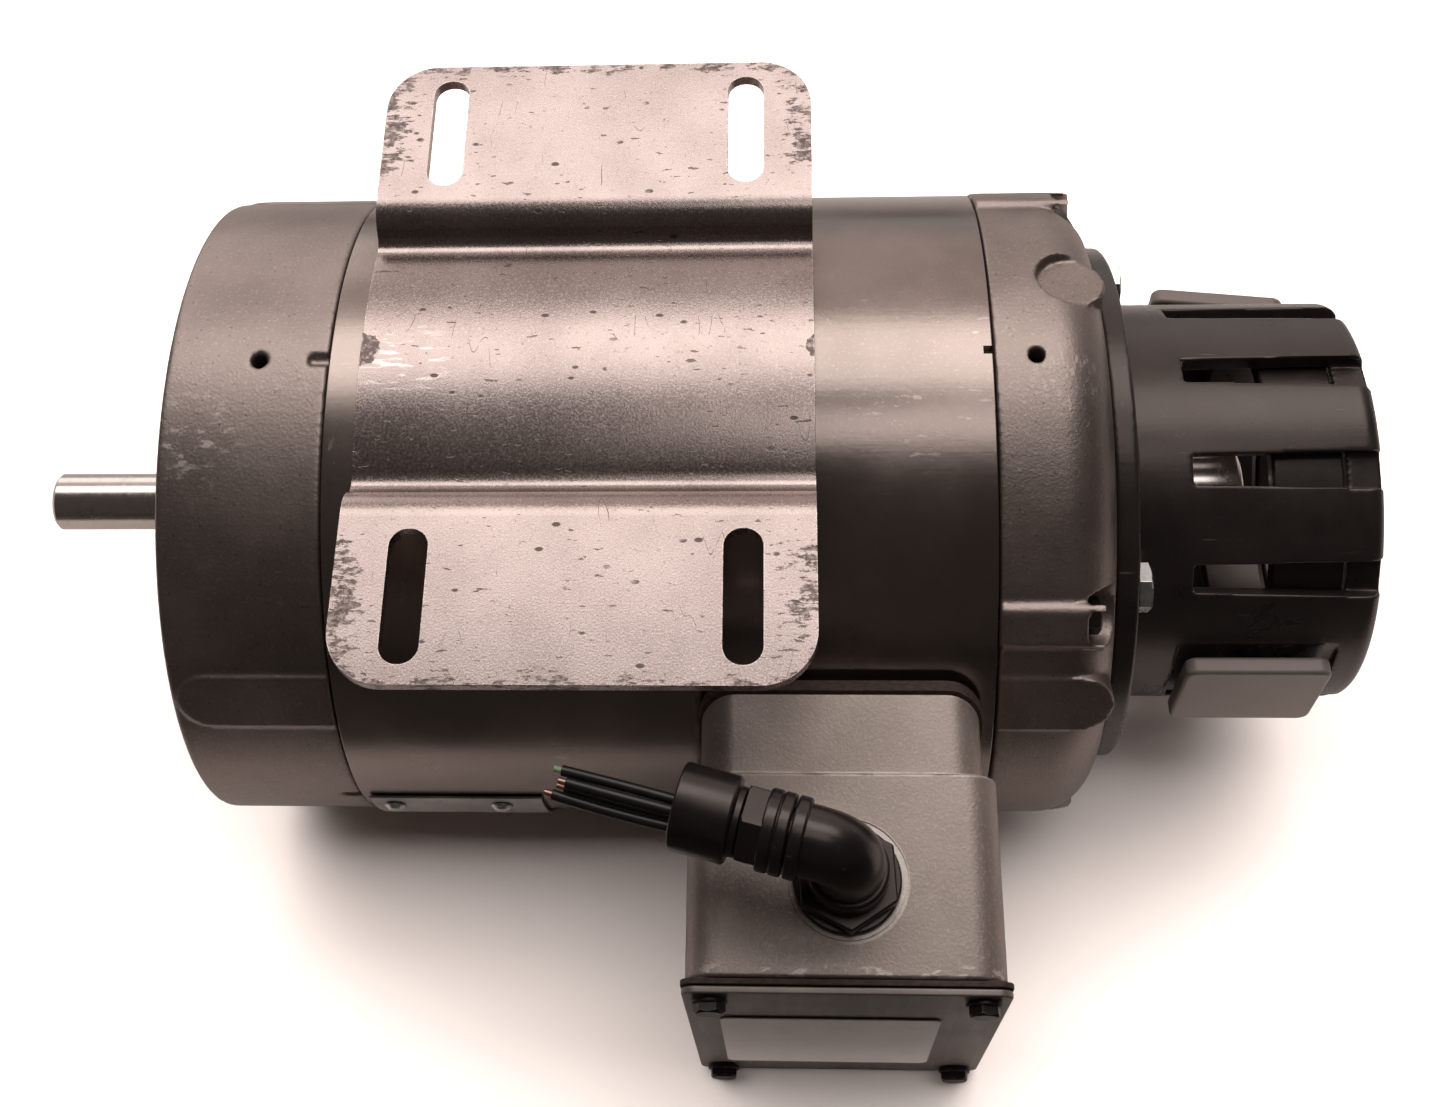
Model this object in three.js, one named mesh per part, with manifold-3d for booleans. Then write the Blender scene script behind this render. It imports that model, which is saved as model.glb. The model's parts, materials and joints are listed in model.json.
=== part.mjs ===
// A small-frame electric motor on a pressed-steel cradle base, with a side conduit box, a right-angle
// cable fitting and a slotted guard on its rear end. Millimetres, +Z up, and the shaft points along +X.
//
// The motor is drawn standing on z = 0 with the centre of its four foot slots at x = 0, y = 0, and the
// finished group is then moved so that its origin is the centre of the shaft's end face.
//
// Everything that is turned about the shaft is drawn in the motor's own axis frame, whose X axis is the
// shaft. A "clock" angle there is measured from straight down and rises towards +Y, so the conduit box,
// on the -Y side, is at -90 degrees. A feature is drawn at the bottom of the motor and clocked round.

import * as THREE from 'three';
import { mergeVertices } from 'three/addons/utils/BufferGeometryUtils.js';
import Module from 'manifold-3d';

const wasm = await Module();
wasm.setup();

// ---------------------------------------------------------------- driving dimensions

const GAP = 0.3; // the clearance left between neighbours at rest
const ROUND = 32; // facets round a large turned part
const FINE = 18; // facets round a bearing or a shaft
const SMALL = 8; // facets round a screw or a pin

const SHAFT_HEIGHT = 88.9; // 3.5 in, feet to shaft centre
const BAND_RADIUS = 83.75;
const BAND_WALL = 2.5;
const BAND_FRONT = 63;
const BAND_REAR = -97.2;
const CASTING_RADIUS = 83.6;
const LIP_RADIUS = BAND_RADIUS - BAND_WALL - GAP; // the register of each end casting inside the band
const LIP_LENGTH = 6;

const FACE_X = 103.5; // drive-end mounting face
const REGISTER_RADIUS = 57.15; // 4.5 in register
const REGISTER_STEP = 4;
const FACE_HOLE_CIRCLE = 74.6; // four tapped holes on a 5.875 in circle
const FACE_HOLE_RADIUS = 4.1;
const SHAFT_END = 158.5;
const SHAFT_RADIUS = 7.94; // 5/8 in
const REAR_SHAFT_RADIUS = 6;
const REAR_SHAFT_END = -166;

const BASE_LENGTH = 109.5;
const BASE_WIDTH = 168;
const BASE_SHEET = 3.3;
const FOOT_CORNER = 13;
const SLOT_PITCH_X = 76.2; // 3 in
const SLOT_CENTRE_Y = 63.1;
const SLOT_LENGTH = 32.2;
const SLOT_WIDTH = 9;

const BOLT_CIRCLE = 77.5; // radius the four through-bolts stand on
const BOLT_RADIUS = 2.4;
const BOLT_CLOCKS = [45, 135, 225, 315];
const PAD_CLOCKS = [60, 120, 240, 300];

const DOME_RADIUS = 14; // shoulder of the rear casting
const REAR_FACE_X = -126.5;
const BOLT_SEAT_X = -118;

const GUARD_DISC_RADIUS = 69;
const GUARD_DISC_FRONT = REAR_FACE_X - GAP;
const GUARD_DISC_REAR = -132.6;
const GUARD_RADIUS = 53.3;
const GUARD_BORE = 48.8;
const GUARD_TIP = -195.3;
const GUARD_RIM_FRONT = -187;
const GUARD_RIM_RADIUS = 49.2;
const FINGER_PITCH = 30;
const SLOT_START = -148.5;
const FIRST_FINGER_SLOT = 13.5; // clock of one of the finger slots
const TABS = [
  { side: 'upper', clock: 93, pivotX: -169.5, restTilt: 6 },
  { side: 'lower', clock: 273, pivotX: -166.5, restTilt: 0 },
];
const TAB_PIVOT_RADIUS = 52.9;

const BOX_CENTRE_X = -60.1;
const BOX_WIDTH = 71.5;
const BOX_DEPTH = 105.8;
const NECK_WIDTH = 66;
const NECK_DEPTH = 100;
const BOX_SHOULDER_Y = -92.3;
const BOX_RIM_Y = -138;
const BOX_WALL = 3;
const SADDLE_RADIUS = 88.4; // the box's curved back, over the gasket
const LID_OVERHANG = 0.8;
const LID_SCREW_INSET = 5.6;
const LEAD_HOLE_RADIUS = 9;

const FITTING_X = -60.7;
const FITTING_Y = -116.8;
const FITTING_ARM_Z = 11;
const FITTING_BEARING = 14.8; // degrees the arm turns from +X towards +Y
const KNOCKOUT_RADIUS = 10.6;
const KNOCKOUT_RING = 13.9;

// ---------------------------------------------------------------- solids

const radians = THREE.MathUtils.degToRad;
const vec2 = (x, y) => new THREE.Vector2(x, y);
const vec3 = (x, y, z) => new THREE.Vector3(x, y, z);

// A closed three.js geometry as a manifold-3d solid with its faces pointing out.
function solid(shape) {
  if (!shape.isBufferGeometry) return shape;
  const bare = new THREE.BufferGeometry();
  bare.setAttribute('position', shape.getAttribute('position').clone());
  if (shape.index) bare.setIndex(shape.index.clone());
  const merged = mergeVertices(bare, 1e-4);
  const corners = merged.index.array;
  const kept = [];
  for (let i = 0; i < corners.length; i += 3) {
    const [a, b, c] = [corners[i], corners[i + 1], corners[i + 2]];
    if (a !== b && b !== c && a !== c) kept.push(a, b, c);
  }
  const make = (triangles) => new wasm.Manifold(new wasm.Mesh({
    numProp: 3,
    vertProperties: merged.getAttribute('position').array,
    triVerts: new Uint32Array(triangles),
  }));
  const made = make(kept);
  return made.volume() > 0 ? made : make(kept.reverse());
}

function geometryOf(body) {
  const mesh = body.getMesh();
  const geometry = new THREE.BufferGeometry();
  geometry.setAttribute('position', new THREE.BufferAttribute(mesh.vertProperties, 3));
  geometry.setIndex(new THREE.BufferAttribute(mesh.triVerts, 1));
  geometry.computeVertexNormals();
  return geometry;
}

const join = (first, ...others) =>
  others.flat(Infinity).reduce((sum, next) => sum.add(solid(next)), solid(first));
const cut = (first, ...tools) =>
  tools.flat(Infinity).reduce((rest, tool) => rest.subtract(solid(tool)), solid(first));
const common = (first, second) => solid(first).intersect(solid(second));

// ---------------------------------------------------------------- shapes

// A body turned about the X axis. The profile is a closed loop of [x, radius].
function turned(profile, facets = ROUND) {
  const outline = profile.map(([x, radius]) => vec2(radius, x));
  outline.push(outline[0].clone());
  return new THREE.LatheGeometry(outline, facets).rotateZ(-Math.PI / 2);
}

const ring = (x0, x1, inner, outer, facets) =>
  turned([[x0, inner], [x0, outer], [x1, outer], [x1, inner]], facets);

// A cylinder along X.
function disc(x0, x1, radius, facets = SMALL) {
  const geometry = new THREE.CylinderGeometry(radius, radius, Math.abs(x1 - x0), facets);
  return geometry.rotateZ(Math.PI / 2).translate((x0 + x1) / 2, 0, 0);
}

function block(x0, x1, y0, y1, z0, z1) {
  const geometry = new THREE.BoxGeometry(Math.abs(x1 - x0), Math.abs(y1 - y0), Math.abs(z1 - z0));
  return geometry.translate((x0 + x1) / 2, (y0 + y1) / 2, (z0 + z1) / 2);
}

// A flat outline raised along Z from z0 to z1.
function raised(outline, z0, z1, curveSegments = 3) {
  const options = { depth: z1 - z0, bevelEnabled: false, curveSegments };
  return new THREE.ExtrudeGeometry(outline, options).translate(0, 0, z0);
}

// The same outline, drawn in the Y-Z plane and run along X.
const alongX = (outline, x0, x1, curveSegments) =>
  raised(outline, x0, x1, curveSegments).rotateZ(Math.PI / 2).rotateY(Math.PI / 2);

// The same outline, drawn in the X-Z plane and run along -Y from y0 down to y1.
const alongY = (outline, y0, y1, curveSegments) =>
  raised(outline, -y0, -y1, curveSegments).rotateX(Math.PI / 2);

function roundedRectangle(width, height, radius, centreX = 0, centreY = 0) {
  const [w, h] = [width / 2 - radius, height / 2 - radius];
  const outline = new THREE.Shape();
  outline.absarc(centreX + w, centreY + h, radius, 0, Math.PI / 2);
  outline.absarc(centreX - w, centreY + h, radius, Math.PI / 2, Math.PI);
  outline.absarc(centreX - w, centreY - h, radius, Math.PI, 1.5 * Math.PI);
  outline.absarc(centreX + w, centreY - h, radius, 1.5 * Math.PI, 2 * Math.PI);
  return outline;
}

function hexagon(acrossFlats) {
  const corner = acrossFlats / 2 / Math.cos(Math.PI / 6);
  const points = Array.from({ length: 6 }, (_, i) => {
    const angle = radians(60 * i);
    return vec2(corner * Math.cos(angle), corner * Math.sin(angle));
  });
  return new THREE.Shape(points);
}

// A round bar bent along a curve.
function bentRod(curve, radius, steps, facets = 8) {
  const section = new THREE.Shape();
  section.absarc(0, 0, radius, 0, 2 * Math.PI);
  const options = { steps, extrudePath: curve, bevelEnabled: false, curveSegments: facets };
  return new THREE.ExtrudeGeometry(section, options);
}

// Points of a circular arc in a turned profile, from one angle to another, as [x, radius].
function arc(centreX, centreRadius, radius, from, to, steps) {
  return Array.from({ length: steps + 1 }, (_, i) => {
    const angle = radians(from + ((to - from) * i) / steps);
    return [centreX + radius * Math.cos(angle), centreRadius + radius * Math.sin(angle)];
  });
}

// Copies of a feature drawn at the bottom of the motor, clocked round the shaft.
const clocked = (feature, clocks) => clocks.map((clock) => feature.clone().rotateX(radians(clock)));

// A round hole or boss whose axis is a radius of the motor, at the bottom.
function radial(x, inner, outer, radius, facets = SMALL) {
  const geometry = new THREE.CylinderGeometry(radius, radius, outer - inner, facets);
  return geometry.rotateX(Math.PI / 2).translate(x, 0, -(inner + outer) / 2);
}

// A headed fastener along X: the head's underside is at x = 0, the head grows towards -X.
function hexScrew({ radius, length, flats, head, washer = 0 }) {
  const shank = disc(-head / 2, length, radius);
  const parts = [alongX(hexagon(flats), -head, 0)];
  if (washer) parts.push(disc(-1, 0, washer, 16));
  return join(shank, parts);
}

// ---------------------------------------------------------------- scene graph

const material = (color, roughness, metalness) =>
  new THREE.MeshStandardMaterial({ color, roughness, metalness });

const paint = {
  band: material(0x57504c, 0.45, 0.5),
  casting: material(0x6a625d, 0.6, 0.4),
  base: material(0x7d736e, 0.5, 0.6),
  box: material(0x6f6661, 0.55, 0.5),
  lid: material(0x5a5350, 0.5, 0.5),
};
const steel = material(0xb9b6b2, 0.25, 1);
const bearingSteel = material(0x9da0a3, 0.2, 1);
const zinc = material(0xc8c9c7, 0.3, 1);
const blackScrew = material(0x1b1918, 0.4, 0.7);
const lamination = material(0x6b6d70, 0.5, 0.8);
const castAluminium = material(0x9a9c9e, 0.45, 0.9);
const enamelledWire = material(0x8a4a22, 0.4, 0.4);
const brass = material(0xa98a4e, 0.35, 0.9);
const blackPlastic = material(0x1e1b1a, 0.4, 0);
const greyPlastic = material(0x8f8681, 0.55, 0);
const rubber = material(0x2b2624, 0.8, 0);
const gasketRubber = material(0x4a3a33, 0.85, 0);
const insulation = material(0x151414, 0.45, 0);
const labelFilm = material(0xb8aea8, 0.6, 0);

const motor = new THREE.Group();
const axis = new THREE.Group();
axis.position.z = SHAFT_HEIGHT;
motor.add(axis);

function add(parent, name, shape, finish) {
  const mesh = new THREE.Mesh(geometryOf(solid(shape)), finish);
  mesh.name = name;
  parent.add(mesh);
  return mesh;
}

// A group clocked round the shaft, for pieces drawn at the bottom of the motor.
function clockedGroup(clock) {
  const group = new THREE.Group();
  group.rotation.x = radians(clock);
  axis.add(group);
  return group;
}

// ---------------------------------------------------------------- casing

function band() {
  const tube = ring(BAND_REAR, BAND_FRONT, BAND_RADIUS - BAND_WALL, BAND_RADIUS);
  const leadHole = radial(BOX_CENTRE_X, 70, 95, LEAD_HOLE_RADIUS + GAP, 16);
  const screwHole = (offset) => radial(BOX_CENTRE_X + offset, 70, 95, 2.3);
  return cut(tube, clocked(leadHole, [-90]), clocked(screwHole(-20), [-90]), clocked(screwHole(20), [-90]));
}

// The cradle's section is one sheet: flat feet, a short riser each side, and a saddle round the band.
function baseCentreLine() {
  const saddle = BAND_RADIUS + GAP + BASE_SHEET / 2;
  const half = BASE_WIDTH / 2;
  const points = [];
  for (let clock = 0; clock <= 19; clock += 3.8) {
    points.push(vec2(saddle * Math.sin(radians(clock)), SHAFT_HEIGHT - saddle * Math.cos(radians(clock))));
  }
  const crest = new THREE.Path();
  crest.moveTo(points.at(-1).x, points.at(-1).y);
  crest.quadraticCurveTo(34.5, 10.9, 37, 5.6);
  crest.quadraticCurveTo(38.8, BASE_SHEET / 2, 44, BASE_SHEET / 2);
  points.push(...crest.getPoints(3).slice(1), vec2(half, BASE_SHEET / 2));
  const mirrored = points.slice(1).reverse().map((p) => vec2(-p.x, p.y));
  return [...mirrored, ...points];
}

// A sheet of constant thickness along a centre line.
function sheetSection(line, thickness) {
  const side = (sign) => line.map((point, i) => {
    const before = line[Math.max(i - 1, 0)];
    const after = line[Math.min(i + 1, line.length - 1)];
    const along = after.clone().sub(before).normalize();
    return vec2(point.x - (sign * along.y * thickness) / 2, point.y + (sign * along.x * thickness) / 2);
  });
  return new THREE.Shape([...side(1), ...side(-1).reverse()]);
}

function basePlate() {
  const plan = roundedRectangle(BASE_LENGTH, BASE_WIDTH, FOOT_CORNER);
  for (const x of [-SLOT_PITCH_X / 2, SLOT_PITCH_X / 2]) {
    for (const y of [-SLOT_CENTRE_Y, SLOT_CENTRE_Y]) {
      plan.holes.push(roundedRectangle(SLOT_WIDTH, SLOT_LENGTH, SLOT_WIDTH / 2 - 0.01, x, y));
    }
  }
  const sheet = alongX(sheetSection(baseCentreLine(), BASE_SHEET), -BASE_LENGTH / 2, BASE_LENGTH / 2);
  return common(sheet, raised(plan, -1, 30, 4));
}

// A flat-topped pad at the bottom of a casting, square at the seam x0 and rounded at its other end x1.
function pad(x0, x1, width, inner, outer) {
  const outline = new THREE.Shape();
  const away = Math.sign(x1 - x0);
  const half = width / 2;
  outline.moveTo(x0, -half);
  outline.lineTo(x1 - away * half, -half);
  outline.absarc(x1 - away * half, 0, half, -Math.PI / 2, Math.PI / 2, away < 0);
  outline.lineTo(x0, half);
  return raised(outline, -outer, -inner, 3);
}

function driveEndplate() {
  const inside = 77;
  const shell = turned([
    [BAND_FRONT - LIP_LENGTH, inside], [BAND_FRONT - LIP_LENGTH, LIP_RADIUS],
    [BAND_FRONT + GAP, LIP_RADIUS], [BAND_FRONT + GAP, CASTING_RADIUS],
    [FACE_X - 1, CASTING_RADIUS], [FACE_X, CASTING_RADIUS - 1],
    [FACE_X, REGISTER_RADIUS], [FACE_X + REGISTER_STEP, REGISTER_RADIUS],
    [FACE_X + REGISTER_STEP, 44], [FACE_X + 1, 38], [FACE_X + 1, 8.8],
    [100.8, 8.8], [100.8, 21], [99.3, 21], [99.3, 26.3],
    [83, 26.3], [83, 33], [94, 36], [95, 70], [90, inside],
  ]);
  const lug = disc(BAND_FRONT + GAP, 94.5, 9, 12).translate(0, 0, -73.5);
  const faceHole = disc(90.5, FACE_X + 1, FACE_HOLE_RADIUS, SMALL).translate(0, 0, -FACE_HOLE_CIRCLE);
  const boltHole = disc(50, 80, BOLT_RADIUS + GAP).translate(0, 0, -BOLT_CIRCLE);
  const drain = radial(80.5, 70, 90, 2, 8);
  const locatingNotch = block(BAND_FRONT, BAND_FRONT + 5.5, -1.5, 1.5, -90, -82);
  const flats = pad(BAND_FRONT + GAP, FACE_X - 2, 16, 80, 84.1);
  const casting = join(shell, clocked(lug, BOLT_CLOCKS), clocked(flats, PAD_CLOCKS));
  return cut(casting, clocked(faceHole, BOLT_CLOCKS), clocked(boltHole, BOLT_CLOCKS), drain,
    clocked(locatingNotch, [0, -90]));
}

function rearEndshield() {
  const inside = 77;
  const shoulderX = REAR_FACE_X + DOME_RADIUS;
  const shell = turned([
    [BAND_REAR + LIP_LENGTH, inside], [BAND_REAR + LIP_LENGTH, LIP_RADIUS],
    [BAND_REAR - GAP, LIP_RADIUS], [BAND_REAR - GAP, CASTING_RADIUS],
    ...arc(shoulderX, CASTING_RADIUS - DOME_RADIUS, DOME_RADIUS, 90, 180, 4),
    [REAR_FACE_X, 7], [-119.6, 7], [-119.6, 20.3],
    [-104.8, 20.3], [-104.8, 26], [-117, 30], [-118.5, 66], [-110, inside],
  ]);
  const ribOutline = new THREE.Shape([
    vec2(-5.8, -66), vec2(5.8, -66), vec2(5.8, -84), vec2(4.2, -85.4), vec2(-4.2, -85.4), vec2(-5.8, -84),
  ]);
  const rib = alongX(ribOutline, BOLT_SEAT_X - 4, BAND_REAR - GAP);
  const seat = disc(BOLT_SEAT_X, -140, 7.6, 12).translate(0, 0, -BOLT_CIRCLE - 1);
  const boltHole = disc(-85, -125, BOLT_RADIUS + GAP + 0.1).translate(0, 0, -BOLT_CIRCLE);
  const shoulderPad = pad(BAND_REAR - GAP, -125.4, 16, 62, 84);
  const spotClock = 17;
  const spotX = -118.2;
  const spotClear = radial(spotX, 80.4, 95, 8.6, 18);
  const spotBoss = radial(spotX, 62, 80.4, 8.3, 18);
  const drain = radial(-107.6, 70, 90, 2, 8);
  const guardHole = disc(-110, -140, 3.5).translate(0, 0, -61);
  const padded = join(shell, clocked(rib, BOLT_CLOCKS), clocked(shoulderPad, PAD_CLOCKS));
  const spotted = join(cut(padded, clocked(spotClear, [spotClock])), clocked(spotBoss, [spotClock]));
  return cut(spotted, clocked(seat, BOLT_CLOCKS), clocked(boltHole, BOLT_CLOCKS), drain,
    clocked(guardHole, BOLT_CLOCKS));
}

add(axis, 'band', band(), paint.band);
add(motor, 'base_plate', basePlate(), paint.base);
add(axis, 'drive_endplate', driveEndplate(), paint.casting);
add(axis, 'rear_endshield', rearEndshield(), paint.casting);

const throughBolt = hexScrew({ radius: BOLT_RADIUS, length: 196, flats: 8, head: 3.4 });
BOLT_CLOCKS.forEach((clock, i) => {
  add(clockedGroup(clock), `through_bolt_${i + 1}`, throughBolt, blackScrew)
    .position.set(BOLT_SEAT_X - GAP, 0, -BOLT_CIRCLE);
});

// ---------------------------------------------------------------- stator and rotor

const STACK_REAR = -57;
const STACK_FRONT = 23;
const STACK_RADIUS = 80.4;
const STATOR_BORE = 48;
const STATOR_SLOTS = 24;
const STATOR_SLOT_BOTTOM = 67;
const STATOR_SLOT_HALF = 3.6;
const ROTOR_RADIUS = 47.5;

function statorCore() {
  const outline = new THREE.Shape();
  outline.absarc(0, 0, STACK_RADIUS, 0, 2 * Math.PI);
  const bore = [];
  for (let i = 0; i < STATOR_SLOTS; i += 1) {
    const middle = (2 * Math.PI * i) / STATOR_SLOTS;
    const corner = (radius, side) => {
      const angle = middle + side * Math.asin(STATOR_SLOT_HALF / radius);
      return vec2(radius * Math.cos(angle), radius * Math.sin(angle));
    };
    bore.push(corner(STATOR_BORE, -1), corner(STATOR_SLOT_BOTTOM, -1));
    bore.push(corner(STATOR_SLOT_BOTTOM, 1), corner(STATOR_BORE, 1));
  }
  outline.holes.push(new THREE.Path(bore));
  const stack = alongX(outline, STACK_REAR, STACK_FRONT, ROUND);
  const boltChannel = block(-70, 40, -3.4, 3.4, -90, -73.5);
  return cut(stack, clocked(boltChannel, BOLT_CLOCKS));
}

// Two end turns joined by the coil sides that lie in the core's slots.
function windings() {
  const endTurn = (x0, x1) => {
    const chamfer = 3;
    return turned([
      [x0, 51], [x0, 72 - chamfer], [x0 + chamfer * Math.sign(x1 - x0), 72], [x1, 72], [x1, 51],
    ], 24);
  };
  const side = block(STACK_REAR - 3, STACK_FRONT + 3, -3.1, 3.1, -66, -54);
  const clocks = Array.from({ length: STATOR_SLOTS }, (_, i) => (360 * i) / STATOR_SLOTS);
  return join(endTurn(STACK_REAR - 19, STACK_REAR - 1), endTurn(STACK_FRONT + 19, STACK_FRONT + 1),
    clocked(side, clocks));
}

function shaft() {
  const bar = turned([
    [REAR_SHAFT_END, 0], [REAR_SHAFT_END, REAR_SHAFT_RADIUS - 0.8],
    [REAR_SHAFT_END + 0.8, REAR_SHAFT_RADIUS], [-118, REAR_SHAFT_RADIUS], [-118, 8.3],
    [-105, 8.3], [-105, 11.5], [-80, 11.5], [-80, 13], [60, 13], [60, 15], [83.7, 15], [83.7, 12.3],
    [99.3, 12.3], [99.3, SHAFT_RADIUS], [SHAFT_END - 0.8, SHAFT_RADIUS], [SHAFT_END, SHAFT_RADIUS - 0.8],
    [SHAFT_END, 0],
  ], FINE);
  const keyway = block(SHAFT_END - 38, SHAFT_END + 1, -2.5, 2.5, 5.5, 12);
  return cut(bar, keyway);
}

function rotorCore() {
  return turned([
    [STACK_REAR - 9, 30], [STACK_REAR - 9, 45], [STACK_REAR, 46], [STACK_REAR, ROTOR_RADIUS],
    [STACK_FRONT, ROTOR_RADIUS], [STACK_FRONT, 46], [STACK_FRONT + 9, 45], [STACK_FRONT + 9, 30],
    [STACK_FRONT, 28], [STACK_FRONT, 13.3], [STACK_REAR, 13.3], [STACK_REAR, 28],
  ], 30);
}

add(axis, 'stator_core', statorCore(), lamination);
add(axis, 'windings', windings(), enamelledWire);
add(axis, 'shaft', shaft(), steel);
add(axis, 'rotor_core', rotorCore(), castAluminium);
add(axis, 'shaft_key', block(SHAFT_END - 37.5, SHAFT_END - 2, -2.2, 2.2, 5.8, 10.2), steel);

// A flat ring with three gentle waves, behind the rear bearing.
function waveWasher() {
  const washer = ring(-118.7, -118.2, 13.5, 19.2, 24);
  const at = washer.getAttribute('position');
  for (let i = 0; i < at.count; i += 1) {
    const angle = Math.atan2(at.getZ(i), at.getY(i));
    at.setX(i, at.getX(i) + 0.35 * Math.cos(3 * angle));
  }
  return washer;
}
add(axis, 'wave_washer', waveWasher(), steel);

// A rubber ring that turns with the shaft in front of the drive-end casting.
add(axis, 'shaft_slinger', turned([
  [FACE_X + 1.4, 8.3], [FACE_X + 1.4, 13], [FACE_X + 2.4, 13.6], [FACE_X + 3, 11], [FACE_X + 6, 11],
  [FACE_X + 6, 8.3],
], 18), rubber);

// ---------------------------------------------------------------- bearings

// Deep-groove ball bearings. Each race has a groove a little wider than its balls.
const BEARINGS = [
  { name: 'drive_bearing', x0: 84, x1: 99, bore: 12.6, outer: 26, pitch: 19.3, ball: 3.9, balls: 9 },
  { name: 'rear_bearing', x0: -117.3, x1: -105.3, bore: 8.6, outer: 20, pitch: 14.3, ball: 3.2, balls: 8 },
];

function race({ x0, x1, pitch, ball }, edge, outward) {
  const groove = ball + 0.35;
  const land = pitch + outward * 2.2;
  const middle = (x0 + x1) / 2;
  const half = Math.sqrt(groove ** 2 - 2.2 ** 2);
  return turned([
    [x0, edge], [x0, land], [middle - half, land],
    [middle - ball / 2, pitch + outward * groove], [middle + ball / 2, pitch + outward * groove],
    [middle + half, land], [x1, land], [x1, edge],
  ], FINE);
}

// The balls and the cage that spaces them turn together.
function ballsAndCage({ x0, x1, pitch, ball, balls }) {
  const middle = (x0 + x1) / 2;
  const cage = ring(middle - 1.3, middle + 1.3, pitch - 0.9, pitch + 0.9, 2 * balls);
  const sphere = new THREE.SphereGeometry(ball, 8, 4).translate(middle, 0, -pitch);
  const clocks = Array.from({ length: balls }, (_, i) => (360 * i) / balls);
  return join(cage, clocked(sphere, clocks));
}

for (const bearing of BEARINGS) {
  add(axis, `${bearing.name}_outer_race`, race(bearing, bearing.outer, 1), bearingSteel);
  add(axis, `${bearing.name}_inner_race`, race(bearing, bearing.bore, -1), bearingSteel);
  add(axis, `${bearing.name}_balls`, ballsAndCage(bearing), brass);
}

// ---------------------------------------------------------------- rear guard

// A moulded cup: a disc bolted to the rear casting, a short tube, and fingers that turn in to a rim.
function rearGuard() {
  const cornerRadius = 3.5;
  const shell = turned([
    [GUARD_DISC_FRONT, 17], [GUARD_DISC_FRONT, GUARD_DISC_RADIUS - 0.6],
    [GUARD_DISC_FRONT - 0.6, GUARD_DISC_RADIUS], [GUARD_DISC_REAR + 0.6, GUARD_DISC_RADIUS],
    [GUARD_DISC_REAR, GUARD_DISC_RADIUS - 0.6], [GUARD_DISC_REAR, GUARD_RADIUS + 1.6],
    [GUARD_DISC_REAR - 1.6, GUARD_RADIUS],
    ...arc(GUARD_TIP + cornerRadius, GUARD_RADIUS - cornerRadius, cornerRadius, 90, 180, 3),
    [GUARD_TIP, 44], [GUARD_RIM_FRONT, 44], [GUARD_RIM_FRONT, GUARD_BORE],
    [GUARD_DISC_REAR, GUARD_BORE], [GUARD_DISC_REAR, 17],
  ]);
  const fingerSlots = Array.from({ length: 12 }, (_, i) => FIRST_FINGER_SLOT + FINGER_PITCH * i)
    .filter((clock) => !TABS.some((tab) => Math.abs(((clock - tab.clock + 540) % 360) - 180) < 12));
  const slotted = cut(shell, clocked(fingerSlot(), fingerSlots), clocked(fingerMouth(), fingerSlots),
    clocked(disc(-120, -140, 3.5).translate(0, 0, -61), BOLT_CLOCKS));
  return TABS.reduce(withTabSeat, slotted);
}

// The guard with a flat seat, a pair of ears and a pin hole for one tab.
function withTabSeat(guard, { clock, pivotX }) {
  const seat = block(pivotX - 20, pivotX + 20, -20, 20, -60, -50.3);
  const lugWay = block(pivotX - 3.5, pivotX + 3.5, -5.6, 5.6, -54, -44);
  const pinHole = tabPin(1.45, 12).translate(pivotX, 0, -TAB_PIVOT_RADIUS);
  const eared = join(cut(guard, clocked(seat, [clock])), clocked(tabEars(pivotX), [clock]));
  return cut(eared, clocked(lugWay, [clock]), clocked(pinHole, [clock]));
}

// The gap between two fingers, a little wider towards the tip.
function fingerSlot() {
  const gap = new THREE.Shape([
    vec2(SLOT_START, -3.7), vec2(GUARD_RIM_FRONT, -4.6), vec2(GUARD_RIM_FRONT, 4.6), vec2(SLOT_START, 3.7),
  ]);
  return raised(gap, -60, -40);
}

// At the tip the gap is only cut down to the rim.
const fingerMouth = () => block(GUARD_RIM_FRONT + 1, GUARD_TIP - 5, -4.7, 4.7, -60, -GUARD_RIM_RADIUS);

// Two upright ears that hold a tab's pin.
function tabEars(pivotX) {
  const ear = (y0, y1) => join(
    alongY(circle(2.2), y1, y0, SMALL).translate(pivotX, 0, -TAB_PIVOT_RADIUS),
    block(pivotX - 2.2, pivotX + 2.2, y0, y1, -TAB_PIVOT_RADIUS, -49.4),
  );
  return geometryOf(join(ear(-8.6, -5.6), ear(5.6, 8.6)));
}

function circle(radius) {
  const outline = new THREE.Shape();
  outline.absarc(0, 0, radius, 0, 2 * Math.PI);
  return outline;
}

const tabPin = (radius, halfLength) => alongY(circle(radius), halfLength, -halfLength, 4);

add(axis, 'rear_guard', rearGuard(), blackPlastic);
add(axis, 'socket_ring', turned([
  [-169, 43.5], [-169, 47.8], [-170, 48.3], [-186.4, 48.3], [-186.4, 43.5], [-185, 42.5], [-170, 42.5],
]), blackPlastic);
add(axis, 'drive_hub', turned([
  [-146, REAR_SHAFT_RADIUS + GAP], [-146, 12], [-148, 14], [-168, 14], [-170, 12],
  [-170, REAR_SHAFT_RADIUS + GAP],
], 18), steel);

const guardBolt = hexScrew({ radius: 3.1, length: 15, flats: 11.1, head: 3.4 });
BOLT_CLOCKS.forEach((clock, i) => {
  add(clockedGroup(clock), `guard_bolt_${i + 1}`, guardBolt, zinc)
    .position.set(GUARD_DISC_REAR - GAP, 0, -61);
});

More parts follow.
